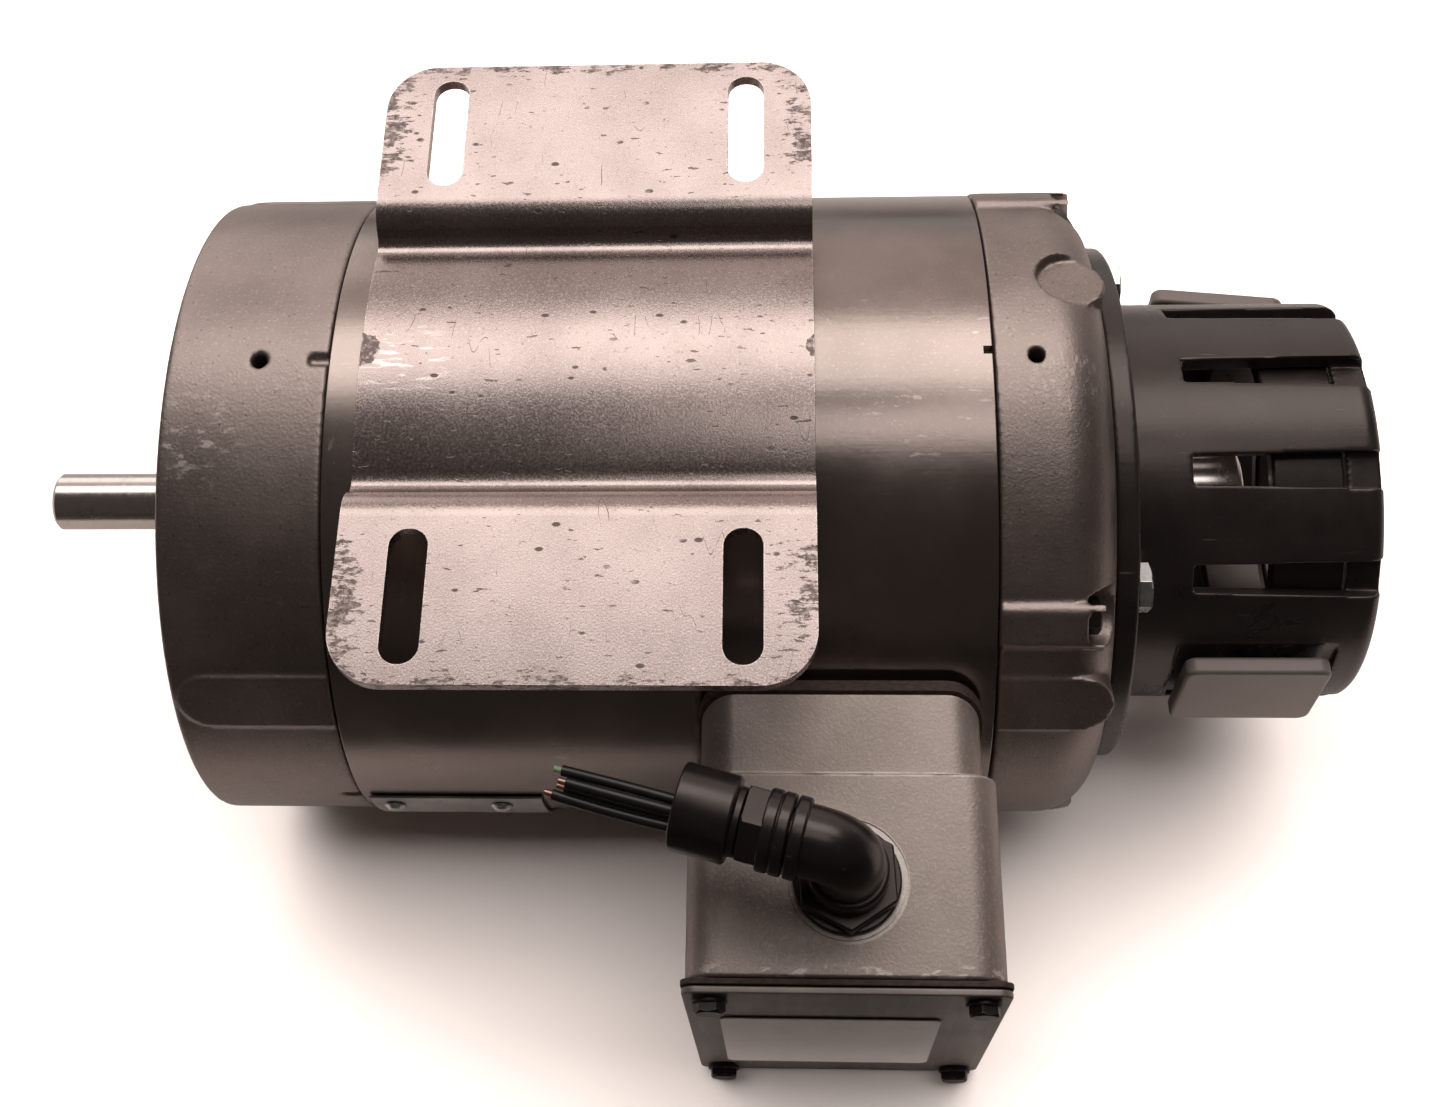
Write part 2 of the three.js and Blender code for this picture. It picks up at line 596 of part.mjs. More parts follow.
// A hollow moulded tab that rocks on a pin, drawn about its pin with the pressed end towards -X.
function releaseTab() {
  const [length, width, top, skirt] = [36.4, 31.4, 57.5, 52.8];
  const z = (radius) => TAB_PIVOT_RADIUS - radius;
  const plate = raised(roundedRectangle(length, width, 3), z(top), z(skirt), 3);
  const hollow = raised(roundedRectangle(length - 3.2, width - 3.2, 1.6), z(top - 2), z(skirt) + 1, 2);
  const lug = join(alongY(circle(2.2), 5.2, -5.2, SMALL), block(-2.2, 2.2, -5.2, 5.2, z(top - 1), 0));
  return cut(join(cut(plate, hollow), lug), tabPin(1.5, 8));
}

// The upper tab rests pressed in at its tip end, and the lower one level.
for (const { side, clock, pivotX, restTilt } of TABS) {
  const pivot = new THREE.Group();
  pivot.position.set(pivotX, 0, -TAB_PIVOT_RADIUS);
  clockedGroup(clock).add(pivot);
  add(pivot, `release_tab_${side}`, releaseTab(), greyPlastic).rotation.y = radians(restTilt);
  add(pivot, `tab_pin_${side}`, tabPin(1.15, 8.4), steel);
}

// ---------------------------------------------------------------- conduit box

const boxOutline = (width, depth, radius) =>
  roundedRectangle(width, depth, radius, BOX_CENTRE_X, -SHAFT_HEIGHT);

// A prism of the box's outline, from one height on the -Y side to another.
const boxPrism = (width, depth, radius, y0, y1) =>
  alongY(boxOutline(width, depth, radius), y0, y1, 3).scale(1, 1, -1);

// What lies inside a radius of the shaft, along the box's length.
const withinRadius = (radius) => disc(-140, 20, radius, ROUND).translate(0, 0, SHAFT_HEIGHT);

const LID_SCREWS = [[-1, -1], [1, -1], [1, 1], [-1, 1]].map(([side, end]) => vec3(
  BOX_CENTRE_X + side * (BOX_WIDTH / 2 - LID_SCREW_INSET), 0,
  SHAFT_HEIGHT + end * (BOX_DEPTH / 2 - LID_SCREW_INSET),
));

// A cylinder along Y in the row's own frame.
const upright = (x, z, y0, y1, radius, facets = SMALL) =>
  new THREE.CylinderGeometry(radius, radius, Math.abs(y1 - y0), facets).translate(x, (y0 + y1) / 2, z);

function conduitBox() {
  const outer = join(
    boxPrism(NECK_WIDTH, NECK_DEPTH, 8, -50, BOX_SHOULDER_Y - 1),
    boxPrism(BOX_WIDTH, BOX_DEPTH, 8, BOX_SHOULDER_Y, BOX_RIM_Y),
  );
  const inner = join(
    boxPrism(NECK_WIDTH - 2 * BOX_WALL, NECK_DEPTH - 2 * BOX_WALL, 5, -50, BOX_SHOULDER_Y - 4),
    boxPrism(BOX_WIDTH - 2 * BOX_WALL, BOX_DEPTH - 2 * BOX_WALL, 5, BOX_SHOULDER_Y - BOX_WALL, BOX_RIM_Y - 1),
  );
  const posts = LID_SCREWS.map(({ x, z }) => upright(x, z, BOX_RIM_Y, BOX_RIM_Y + 22, 4.4, 10));
  const shell = cut(outer, withinRadius(SADDLE_RADIUS));
  const hollow = cut(inner, withinRadius(SADDLE_RADIUS + BOX_WALL));
  const knockout = disc(30, 48, KNOCKOUT_RADIUS, 18).rotateY(-Math.PI / 2)
    .translate(FITTING_X, FITTING_Y, 0);
  const wallZ = SHAFT_HEIGHT - BOX_DEPTH / 2;
  const scoreRing = ring(wallZ - 1, wallZ + 0.5, KNOCKOUT_RING - 0.7, KNOCKOUT_RING, 20)
    .rotateY(-Math.PI / 2).translate(FITTING_X, FITTING_Y, 0);
  return cut(join(cut(shell, hollow), posts), knockout, scoreRing,
    upright(BOX_CENTRE_X, SHAFT_HEIGHT, -80, -95, LEAD_HOLE_RADIUS + GAP, 16),
    [-20, 20].map((offset) => upright(BOX_CENTRE_X + offset, SHAFT_HEIGHT, -80, -95, 2.3)),
    LID_SCREWS.map(({ x, z }) => upright(x, z, BOX_RIM_Y - 1, BOX_RIM_Y + 16, 1.9)));
}

function boxGasket() {
  const sheet = cut(
    boxPrism(NECK_WIDTH + 1, NECK_DEPTH + 1, 8.5, -50, -95),
    boxPrism(NECK_WIDTH - 16, NECK_DEPTH - 20, 4, -50, -95),
  );
  return cut(common(sheet, withinRadius(SADDLE_RADIUS - GAP)), withinRadius(BAND_RADIUS + GAP));
}

const lidPrism = (width, depth, y0, y1) => boxPrism(BOX_WIDTH + width, BOX_DEPTH + depth, 3.5, y0, y1);
const LID_SIZE = 2 * LID_OVERHANG;
const LID_BACK_Y = BOX_RIM_Y - 1.9;
const LID_FRONT_Y = LID_BACK_Y - 1.6;

function lidGasket() {
  const sheet = lidPrism(LID_SIZE, LID_SIZE, BOX_RIM_Y - GAP, LID_BACK_Y + GAP);
  const window = boxPrism(BOX_WIDTH - 20, BOX_DEPTH - 20, 6, BOX_RIM_Y, LID_BACK_Y);
  return cut(sheet, window, LID_SCREWS.map(({ x, z }) => upright(x, z, -135, -145, 1.9)));
}

const boxLid = () => cut(lidPrism(LID_SIZE - 0.5, LID_SIZE - 0.5, LID_BACK_Y, LID_FRONT_Y),
  LID_SCREWS.map(({ x, z }) => upright(x, z, -135, -145, 1.9)));

add(motor, 'conduit_box', conduitBox(), paint.box);
add(motor, 'box_gasket', boxGasket(), gasketRubber);
add(motor, 'lid_gasket', lidGasket(), gasketRubber);
add(motor, 'box_lid', boxLid(), paint.lid);
add(motor, 'box_label', alongY(roundedRectangle(51, 62, 2), 0, -0.3, 3), labelFilm)
  .position.set(-56.9, LID_FRONT_Y - GAP, SHAFT_HEIGHT + 5.8);

const lidScrew = hexScrew({ radius: 1.6, length: 16, flats: 6.4, head: 3.2, washer: 4.1 });
LID_SCREWS.forEach(({ x, z }, i) => {
  const mesh = add(motor, `lid_screw_${i + 1}`, lidScrew, blackScrew);
  mesh.position.set(x, LID_FRONT_Y - GAP, z);
  mesh.rotation.z = Math.PI / 2;
});

const boxScrew = hexScrew({ radius: 2, length: 10, flats: 6.4, head: 3, washer: 4.3 });
[-20, 20].forEach((offset, i) => {
  const mesh = add(motor, `box_screw_${i + 1}`, boxScrew, zinc);
  mesh.position.set(BOX_CENTRE_X + offset, -(SADDLE_RADIUS + BOX_WALL + GAP), SHAFT_HEIGHT);
  mesh.rotation.z = Math.PI / 2;
});

// A rubber bush in the hole that the leads pass through.
function leadGrommet() {
  const bush = turned([
    [-93.5, 6.9], [-93.5, 11], [-91.8, 11], [-91.8, 8.9], [-81.6, 8.9], [-81.6, 6.9],
  ], 14);
  return bush.rotateZ(Math.PI / 2);
}
add(motor, 'lead_grommet', leadGrommet(), rubber).position.set(BOX_CENTRE_X, 0, SHAFT_HEIGHT);

// Three leads run from the rear end turn, out through the bush and into the box.
[-1, 0, 1].forEach((place, i) => {
  const z = SHAFT_HEIGHT + 3.4 * place;
  const curve = new THREE.CatmullRomCurve3([
    vec3(-73, -74.6, z + 5 * place), vec3(-66, -76.2, z + 3 * place), vec3(-60.6, -83, z),
    vec3(-60.1, -92, z), vec3(-58 - 3 * place, -104, z + 6 * place), vec3(-66, -122, z + 12 * place),
  ]);
  add(motor, `stator_lead_${i + 1}`, bentRod(curve, 1.4, 8, 3), insulation);
});

// ---------------------------------------------------------------- right-angle cable fitting

// Drawn with the threaded leg along +Z, from the box wall, and the arm along +X at height zero.
function elbowBody() {
  const bend = 8;
  const legTop = SHAFT_HEIGHT - BOX_DEPTH / 2 - FITTING_ARM_Z;
  const path = new THREE.CurvePath();
  path.add(new THREE.LineCurve3(vec3(0, 0, legTop - 6), vec3(0, 0, bend)));
  path.add(new THREE.QuadraticBezierCurve3(vec3(0, 0, bend), vec3(0, 0, 0), vec3(bend, 0, 0)));
  path.add(new THREE.LineCurve3(vec3(bend, 0, 0), vec3(11.5, 0, 0)));
  const section = 7.7;
  const bar = bentRod(path, section, 12, 8);
  const standing = (z0, z1, radius, facets) =>
    disc(z0, z1, radius, facets).rotateY(-Math.PI / 2);
  const collar = turned([[9.7, 0], [9.7, 8.3], [10.3, 8.9], [12.2, 8.9], [12.8, 8.3], [12.8, 0]], 18);
  const spigot = disc(12, 22, 5.9, 14);
  const leg = standing(12, legTop - 5.2, 9.2, 18);
  const flange = standing(legTop - 5.2, legTop - GAP, 12.4, 20);
  const thread = standing(legTop - 1, legTop + 13, KNOCKOUT_RADIUS - GAP - 0.1, 18);
  const wireWay = join(standing(1, legTop + 20, 5, 10), disc(-1, 30, 4.6, 10));
  return cut(join(bar, collar, spigot, leg, flange, thread), wireWay);
}

const fitting = new THREE.Group();
fitting.position.set(FITTING_X, FITTING_Y, FITTING_ARM_Z);
fitting.rotation.z = radians(FITTING_BEARING);
motor.add(fitting);
add(fitting, 'elbow_body', elbowBody(), blackPlastic);

function elbowLocknut() {
  const wallInside = SHAFT_HEIGHT - BOX_DEPTH / 2 + BOX_WALL - FITTING_ARM_Z;
  const nut = cut(raised(hexagon(25), wallInside + GAP, wallInside + 5),
    raised(circle(KNOCKOUT_RADIUS), 0, 60, 8));
  return nut;
}
add(fitting, 'elbow_locknut', elbowLocknut(), zinc);

// A six-sided clamping nut with a round skirt.
function glandNut() {
  const round = turned([[13.1, 6.2], [13.1, 8.5], [13.9, 9], [18.2, 9], [19, 8.4], [19, 6.2]], 18);
  const hex = cut(alongX(hexagon(15.8), 18.6, 23.5), disc(17, 25, 6.2, 18));
  return join(round, hex);
}
add(fitting, 'gland_nut', glandNut(), blackPlastic);

add(fitting, 'gland_sleeve', turned([
  [23.8, 5], [23.8, 7.6], [25.4, 7.6], [26, 9.6], [37.6, 9.6], [38.2, 9], [38.2, 6.8], [28, 6.8], [28, 5],
], 20), blackPlastic);

// Four insulated wires with short bare ends, a little fanned.
const WIRES = [[1, 0, 26.5], [-2, -2.1, 24.4], [-4.8, 0.3, 27], [-2, 2.4, 25.2]];
WIRES.forEach(([across, deep, reach], i) => {
  const tip = vec3(38.2 + reach, across * 0.95 - 0.2, deep);
  const curve = new THREE.QuadraticBezierCurve3(
    vec3(29, across * 0.9, deep * 0.9), vec3(48, across * 1.15, deep * 1.3), tip);
  const onward = curve.getTangent(1);
  const bare = new THREE.CylinderGeometry(0.75, 0.75, 4, 6).rotateZ(-Math.PI / 2)
    .applyQuaternion(new THREE.Quaternion().setFromUnitVectors(vec3(1, 0, 0), onward))
    .translate(tip.x, tip.y, tip.z);
  add(fitting, `cable_wire_${i + 1}`, join(bentRod(curve, 1.2, 6, 3), bare), insulation);
});

// ---------------------------------------------------------------- nameplate

const PLATE_FROM = -89;
const PLATE_TO = -125;

function nameplate() {
  const inner = BAND_RADIUS + GAP;
  const outline = new THREE.Shape();
  const [from, to] = [radians(PLATE_FROM - 90), radians(PLATE_TO - 90)];
  outline.absarc(0, 0, inner + 0.8, from, to, true);
  outline.absarc(0, 0, inner, to, from, false);
  const sheet = alongX(outline, 16, 61, 8);
  return cut(sheet, RIVETS.map(({ x, clock }) => clocked(radial(x, 70, 95, 1.9, 8), [clock])));
}

const RIVETS = [27, 55].flatMap((x) => [-93, -121].map((clock) => ({ x, clock })));

add(axis, 'nameplate', nameplate(), castAluminium);
const rivet = new THREE.LatheGeometry(
  [vec2(0, 0), vec2(1.5, 0), vec2(1.5, 1.2), vec2(2.9, 1.2), vec2(2, 2.4), vec2(0, 2.8)],
  10).rotateX(-Math.PI / 2);
RIVETS.forEach(({ x, clock }, i) => {
  add(clockedGroup(clock), `nameplate_rivet_${i + 1}`, rivet, zinc)
    .position.set(x, 0, -(BAND_RADIUS + GAP + 0.1));
});

motor.position.set(-SHAFT_END, 0, -SHAFT_HEIGHT);

export default motor;
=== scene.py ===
"""A small-frame electric motor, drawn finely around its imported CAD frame.

Shapes are drawn in millimetres and scaled to metres when they are placed. Most are turned about the
shaft: they are drawn with the X axis as the shaft and lifted to its height. A "clock" angle is measured
round the shaft from straight down and rises towards +Y, so the conduit box, on the -Y side, is at -90
degrees. A feature is drawn at the bottom of the motor, where -Z is outward, and clocked round.
"""

import json
import math

import bmesh
import bpy
from mathutils import Matrix, Vector


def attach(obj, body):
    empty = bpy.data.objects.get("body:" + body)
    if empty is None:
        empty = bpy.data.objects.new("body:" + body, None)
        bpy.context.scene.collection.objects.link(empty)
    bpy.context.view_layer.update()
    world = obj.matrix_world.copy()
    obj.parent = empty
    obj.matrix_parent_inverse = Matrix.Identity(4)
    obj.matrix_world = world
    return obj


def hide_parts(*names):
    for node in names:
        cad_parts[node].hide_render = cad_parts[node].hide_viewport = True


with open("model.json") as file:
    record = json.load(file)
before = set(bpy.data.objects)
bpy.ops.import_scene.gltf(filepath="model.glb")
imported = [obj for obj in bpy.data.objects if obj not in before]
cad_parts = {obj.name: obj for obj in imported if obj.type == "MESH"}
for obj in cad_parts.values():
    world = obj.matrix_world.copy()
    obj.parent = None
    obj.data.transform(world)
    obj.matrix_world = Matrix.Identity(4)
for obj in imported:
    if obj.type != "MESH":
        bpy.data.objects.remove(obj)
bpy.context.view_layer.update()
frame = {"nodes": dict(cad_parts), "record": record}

# ---------------------------------------------------------------- driving dimensions, in millimetres

SHAFT_HEIGHT = 88.9
BAND_RADIUS = 83.75
BAND_WALL = 2.5
BAND_FRONT = 63
BAND_REAR = -97.2
CASTING_RADIUS = 83.6
GAP = 0.3  # between parts that lie together
LIP_RADIUS = BAND_RADIUS - BAND_WALL - GAP
LIP_LENGTH = 6
INSIDE_RADIUS = 77
THROUGH_WALL = (70, 95)  # from the axis, for a hole through the band or a casting
DRAIN_HOLES_X = (80.5, -107.6)
PAD_WIDTH = 16

FACE_X = 103.5
REGISTER_RADIUS = 57.15
SHAFT_END = 158.5
SHAFT_RADIUS = 7.94
REAR_SHAFT_RADIUS = 6
REAR_SHAFT_END = -166
DRIVE_BEARING_FRONT = 99.3
DRIVE_BORE = 26.3
REAR_BORE = 20.3

BASE_LENGTH = 109.5
BASE_WIDTH = 168
BASE_SHEET = 3.3
FOOT_CORNER = 13
SLOT_PITCH_X = 76.2
SLOT_CENTRE_Y = 63.1
SLOT_LENGTH = 32.2
SLOT_WIDTH = 9
THROUGH_BASE = (-5, 30)

FACE_HOLE_CIRCLE = 74.6  # a circle here is given by its radius
BOLT_CIRCLE = 77.5
GUARD_BOLT_CIRCLE = 61
BOLT_CLOCKS = (45, 135, 225, 315)
PAD_CLOCKS = (60, 120, 240, 300)
REAR_FACE_X = -126.5
DOME_RADIUS = 14
BOLT_SEAT_X = -118

GUARD_DISC_FRONT = REAR_FACE_X - GAP
GUARD_DISC_REAR = -132.6
GUARD_DISC_RADIUS = 69
GUARD_RADIUS = 53.3
GUARD_BORE = 48.8
GUARD_TIP = -195.3
GUARD_RIM_FRONT = -187
GUARD_RIM_RADIUS = 49.2
SLOT_START = -148.5
FINGER_PITCH = 30
FIRST_GAP = 13.5
TAB_HALF_LENGTH = 20
TABS = {"upper": (93, -169.5, 6), "lower": (273, -166.5, 0)}  # clock, pivot x, tilt at rest
TAB_PIVOT_RADIUS = 52.9
EAR_INSIDE = 5.6
EAR_OUTSIDE = 8.6
EAR_RADIUS = 2.2

BOX_X = -60.1
BOX_WIDTH = 71.5
BOX_DEPTH = 105.8
NECK_WIDTH = 66
NECK_DEPTH = 100
BOX_SHOULDER_Y = -92.3
BOX_RIM_Y = -138
BOX_WALL = 3
SADDLE_RADIUS = 88.4
LID_BACK_Y = BOX_RIM_Y - 1.9
LID_FRONT_Y = LID_BACK_Y - 1.6
LID_SCREW_INSET = 5.6
LID_SCREW_HOLE = 1.9
BOX_SCREWS = (-20, 20)  # from BOX_X
TOP_HOLES = ((0, 9.3), *[(x, 2.3) for x in BOX_SCREWS])  # for the leads and the box screws

FITTING = Vector((-60.7, -116.8, 11))
FITTING_BEARING = 14.8
KNOCKOUT_RADIUS = 10.6
KNOCKOUT_RING = 13.9
BOX_NEAR_Z = SHAFT_HEIGHT - BOX_DEPTH / 2

ROUND = 192  # facets round a large turned part
FINE = 64  # facets round a shaft or a boss
SMALL = 32  # facets round a screw

QUARTER = math.pi / 2


def at(x, y=0, z=0):
    return Matrix.Translation((x, y, z))


def spun(angle, axis="X"):
    return Matrix.Rotation(angle, 4, axis)


ON_SHAFT = at(0, 0, SHAFT_HEIGHT)


def round_shaft(angle):
    """Takes a feature drawn at the bottom of the motor, about the X axis, round that axis."""
    return spun(math.radians(angle))


def clock(angle):
    """Takes the same feature to its clock angle about the shaft."""
    return ON_SHAFT @ round_shaft(angle)


# ---------------------------------------------------------------- meshes

def mesh_object(corners, faces, name="shape"):
    mesh = bpy.data.meshes.new(name)
    mesh.from_pydata([tuple(corner) for corner in corners], [], faces)
    body = bmesh.new()
    body.from_mesh(mesh)
    bmesh.ops.remove_doubles(body, verts=body.verts, dist=1e-5)
    bmesh.ops.dissolve_degenerate(body, edges=body.edges, dist=1e-6)
    loose = [edge for edge in body.edges if not edge.link_faces]
    bmesh.ops.delete(body, geom=loose, context="EDGES")
    bmesh.ops.recalc_face_normals(body, faces=body.faces)
    body.to_mesh(mesh)
    body.free()
    shape = bpy.data.objects.new(name, mesh)
    bpy.context.scene.collection.objects.link(shape)
    return shape


def moved(shape, matrix):
    shape.data.transform(matrix)
    return shape


def copied(shape, matrix):
    twin = shape.copy()
    twin.data = shape.data.copy()
    bpy.context.scene.collection.objects.link(twin)
    return moved(twin, matrix)


def discard(shape):
    bpy.data.objects.remove(shape)


def applied(shape):
    """The shape with its modifiers made part of its mesh."""
    evaluated = shape.evaluated_get(bpy.context.evaluated_depsgraph_get())
    mesh = bpy.data.meshes.new_from_object(evaluated)
    shape.modifiers.clear()
    shape.data = mesh
    return shape


def combined(shape, tools, operation):
    for tool in tools:
        step = shape.modifiers.new(operation, "BOOLEAN")
        step.operation = operation
        step.object = tool
        step.solver = "MANIFOLD"
    applied(shape)
    for tool in tools:
        discard(tool)
    return shape


def join(shape, *tools):
    return combined(shape, tools, "UNION")


def cut(shape, *tools):
    return combined(shape, tools, "DIFFERENCE")


def common(shape, *tools):
    return combined(shape, tools, "INTERSECT")


def clocked(shape, angles):
    """Copies of a feature drawn at the bottom of the motor, round the X axis."""
    twins = [copied(shape, round_shaft(angle)) for angle in angles]
    discard(shape)
    return twins


def softened(shape, width=0.4, segments=3, angle=38):
    """Rounds every edge that turns by more than the angle."""
    bevel = shape.modifiers.new("soften", "BEVEL")
    bevel.width = width
    bevel.segments = segments
    bevel.limit_method = "ANGLE"
    bevel.angle_limit = math.radians(angle)
    return applied(shape)


def cast(shape, voxel, smoothing=4, keep=0.5):
    """One continuous skin over the whole shape, with small fillets at its edges and joins."""
    skin = shape.modifiers.new("skin", "REMESH")
    skin.mode = "VOXEL"
    skin.voxel_size = voxel
    relax = shape.modifiers.new("relax", "SMOOTH")
    relax.factor = 0.5
    relax.iterations = smoothing
    if keep < 1:
        thin = shape.modifiers.new("thin", "DECIMATE")
        thin.ratio = keep
    return applied(shape)


def shaded(shape, sharp_angle=36):
    """Smooth faces, with true edges left sharp."""
    body = bmesh.new()
    body.from_mesh(shape.data)
    for face in body.faces:
        face.smooth = True
    for edge in body.edges:
        edge.smooth = len(edge.link_faces) == 2 and edge.calc_face_angle() < math.radians(sharp_angle)
    body.to_mesh(shape.data)
    body.free()
    weighted = shape.modifiers.new("weighted", "WEIGHTED_NORMAL")
    weighted.keep_sharp = True
    return applied(shape)


# ---------------------------------------------------------------- outlines

def rounded(points, radius=0.5, steps=4):
    """A closed outline with its corners rounded. A point may give its own radius as a third number."""
    outline = []
    for i, point in enumerate(points):
        corner = Vector(point[:2])
        back = Vector(points[i - 1][:2]) - corner
        ahead = Vector(points[(i + 1) % len(points)][:2]) - corner
        wanted = point[2] if len(point) > 2 else radius
        half = back.angle(ahead) / 2
        if wanted <= 0 or half > math.radians(89):
            outline.append(tuple(corner))
            continue
        reach = min(wanted / math.tan(half), 0.48 * back.length, 0.48 * ahead.length)
        bend = reach * math.tan(half)
        middle = (back.normalized() + ahead.normalized()).normalized()
        centre = corner + middle * (bend / math.sin(half))
        start = corner + back.normalized() * reach - centre
        end = corner + ahead.normalized() * reach - centre
        turn = math.atan2(start.x * end.y - start.y * end.x, start.dot(end))
        for k in range(steps + 1):
            angle = turn * k / steps
            outline.append(tuple(centre + Matrix.Rotation(angle, 2) @ start))
    return outline


def rectangle(width, height, radius, centre=(0, 0), steps=8):
    (x, y), w, h = centre, width / 2, height / 2
    return rounded([(x - w, y - h), (x + w, y - h), (x + w, y + h), (x - w, y + h)], radius, steps)


def regular(sides, across_flats, turn=0):
    corner = across_flats / 2 / math.cos(math.pi / sides)
    angles = [2 * math.pi * i / sides + math.radians(turn) for i in range(sides)]
    return [(corner * math.cos(angle), corner * math.sin(angle)) for angle in angles]


def turned(profile, segments=ROUND, radius=0.5):
    """A body turned about the X axis. The profile is a closed loop of (x, distance from the axis)."""
    profile = rounded(profile, radius)
    count = len(profile)
    corners, faces = [], []
    for i in range(segments):
        angle = 2 * math.pi * i / segments
        corners += [(x, r * math.sin(angle), -r * math.cos(angle)) for x, r in profile]
        following = (i + 1) % segments * count
        for k in range(count):
            m = (k + 1) % count
            faces.append((i * count + k, i * count + m, following + m, following + k))
    return mesh_object(corners, faces)


def raised(outline, low, high):
    """A flat outline in the X-Y plane, raised along Z."""
    count = len(outline)
    corners = [(x, y, z) for z in (low, high) for x, y in outline]
    faces = [tuple(range(count)), tuple(range(count, 2 * count))]
    faces += [(i, (i + 1) % count, count + (i + 1) % count, count + i) for i in range(count)]
    return mesh_object(corners, faces)


# An outline's two axes and its depth, taken to (Y, Z) and X, or to (X, Z) and Y.
ALONG_X = Matrix(((0, 0, 1, 0), (1, 0, 0, 0), (0, 1, 0, 0), (0, 0, 0, 1)))
ALONG_Y = Matrix(((1, 0, 0, 0), (0, 0, 1, 0), (0, 1, 0, 0), (0, 0, 0, 1)))


def oriented(outline, low, high, matrix):
    shape = moved(raised(outline, min(low, high), max(low, high)), matrix)
    body = bmesh.new()
    body.from_mesh(shape.data)
    bmesh.ops.recalc_face_normals(body, faces=body.faces)
    body.to_mesh(shape.data)
    body.free()
    return shape


def along_x(outline, x0, x1):
    return oriented(outline, x0, x1, ALONG_X)


def along_y(outline, y0, y1):
    return oriented(outline, y0, y1, ALONG_Y)


def block(x0, x1, y0, y1, z0, z1):
    return raised([(x0, y0), (x1, y0), (x1, y1), (x0, y1)], z0, z1)


def rod(x0, x1, radius, segments=SMALL):
    """A plain cylinder along X, for cutting."""
    return along_x(regular(segments, 2 * radius * math.cos(math.pi / segments)), x0, x1)


def disc(x0, x1, radius, edge, segments=SMALL):
    """A cylinder along X with rounded rims."""
    return turned([(x0, 0, 0), (x0, radius, edge), (x1, radius, edge), (x1, 0, 0)], segments)


def swept(path, radius, segments=24):
    """A round bar along a list of points. The radius is a number, or a function of the place 0 to 1."""
    points = [Vector(point) for point in path]
    corners, faces = [], []
    side = Vector((0, 0, 1)).cross(points[1] - points[0])
    if side.length < 1e-6:
        side = Vector((0, 1, 0))
    for i, point in enumerate(points):
        ahead = points[min(i + 1, len(points) - 1)] - points[max(i - 1, 0)]
        ahead.normalize()
        side = (side - ahead * side.dot(ahead)).normalized()
        other = ahead.cross(side)
        reach = radius(i / (len(points) - 1)) if callable(radius) else radius
        for k in range(segments):
            angle = 2 * math.pi * k / segments
            corners.append(point + (side * math.cos(angle) + other * math.sin(angle)) * reach)
    for i in range(len(points) - 1):
        for k in range(segments):
            m = (k + 1) % segments
            faces.append((i * segments + k, i * segments + m, (i + 1) * segments + m, (i + 1) * segments + k))
    faces.append(tuple(range(segments)))
    faces.append(tuple(range((len(points) - 1) * segments, len(points) * segments)))
    return mesh_object(corners, faces)


def bezier(start, pull, end, steps=24):
    start, pull, end = Vector(start), Vector(pull), Vector(end)
    places = [i / steps for i in range(steps + 1)]
    return [start * (1 - t) ** 2 + pull * 2 * t * (1 - t) + end * t * t for t in places]


# ---------------------------------------------------------------- placing

MM = 0.001
TO_ROW = Matrix.Scale(MM, 4) @ at(-SHAFT_END, 0, -SHAFT_HEIGHT)
SLOT_OF = {part["node"]: part["material_slot"] for part in frame["record"]["subparts"]}
BODY_OF = {
    node: body for body, nodes in frame["record"]["behaviour"]["bodies"].items() for node in nodes
}


def place_extra(shape, node, name, material, sharp_angle=36):
    """The shape, in the motor's millimetres, goes with a CAD node and moves with its body."""
    shaded(shape, sharp_angle)
    moved(shape, TO_ROW)
    shape.name = shape.data.name = name
    shape.data.materials.clear()
    shape.data.materials.append(material)
    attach(shape, BODY_OF[node])


def place(shape, node, material=None, sharp_angle=36):
    """The shape stands for a CAD node."""
    place_extra(shape, node, f"{node}_fine", material or MATERIALS[SLOT_OF[node]], sharp_angle)
    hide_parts(node)


# ---------------------------------------------------------------- materials

class Graph:
    """Adds shader nodes to the tree of a material or a world."""

    def __init__(self, holder):
        holder.use_nodes = True
        self.tree = holder.node_tree
        self.tree.nodes.clear()

    def node(self, kind, inputs=None, **settings):
        made = self.tree.nodes.new("ShaderNode" + kind)
        for key, value in settings.items():
            setattr(made, key, value)
        for key, value in (inputs or {}).items():
            if isinstance(value, bpy.types.NodeSocket):
                self.tree.links.new(value, made.inputs[key])
            else:
                made.inputs[key].default_value = value
        return made

    def step(self, value, low, high):
        """0 below the low value, 1 above the high one, and smooth between. High may be the lower one."""
        inputs = {"Value": value, "From Min": low, "From Max": high}
        return self.node("MapRange", inputs, interpolation_type="SMOOTHSTEP").outputs[0]

    def math(self, operation, a, b=0.0):
        return self.node("Math", {0: a, 1: b}, operation=operation, use_clamp=False).outputs[0]

    def product(self, *values):
        result = values[0]
        for value in values[1:]:
            result = self.math("MULTIPLY", result, value)
        return result

    def larger(self, *values):
        result = values[0]
        for value in values[1:]:
            result = self.math("MAXIMUM", result, value)
        return result

    def mixed(self, factor, a, b):
        """Colour a where the factor is 0 and colour b where it is 1."""
        inputs = {0: factor, 6: colour(a), 7: colour(b)}
        return self.node("Mix", inputs, data_type="RGBA").outputs[2]

    def between(self, factor, a, b):
        return self.node("Mix", {0: factor, 2: a, 3: b}, data_type="FLOAT").outputs[0]


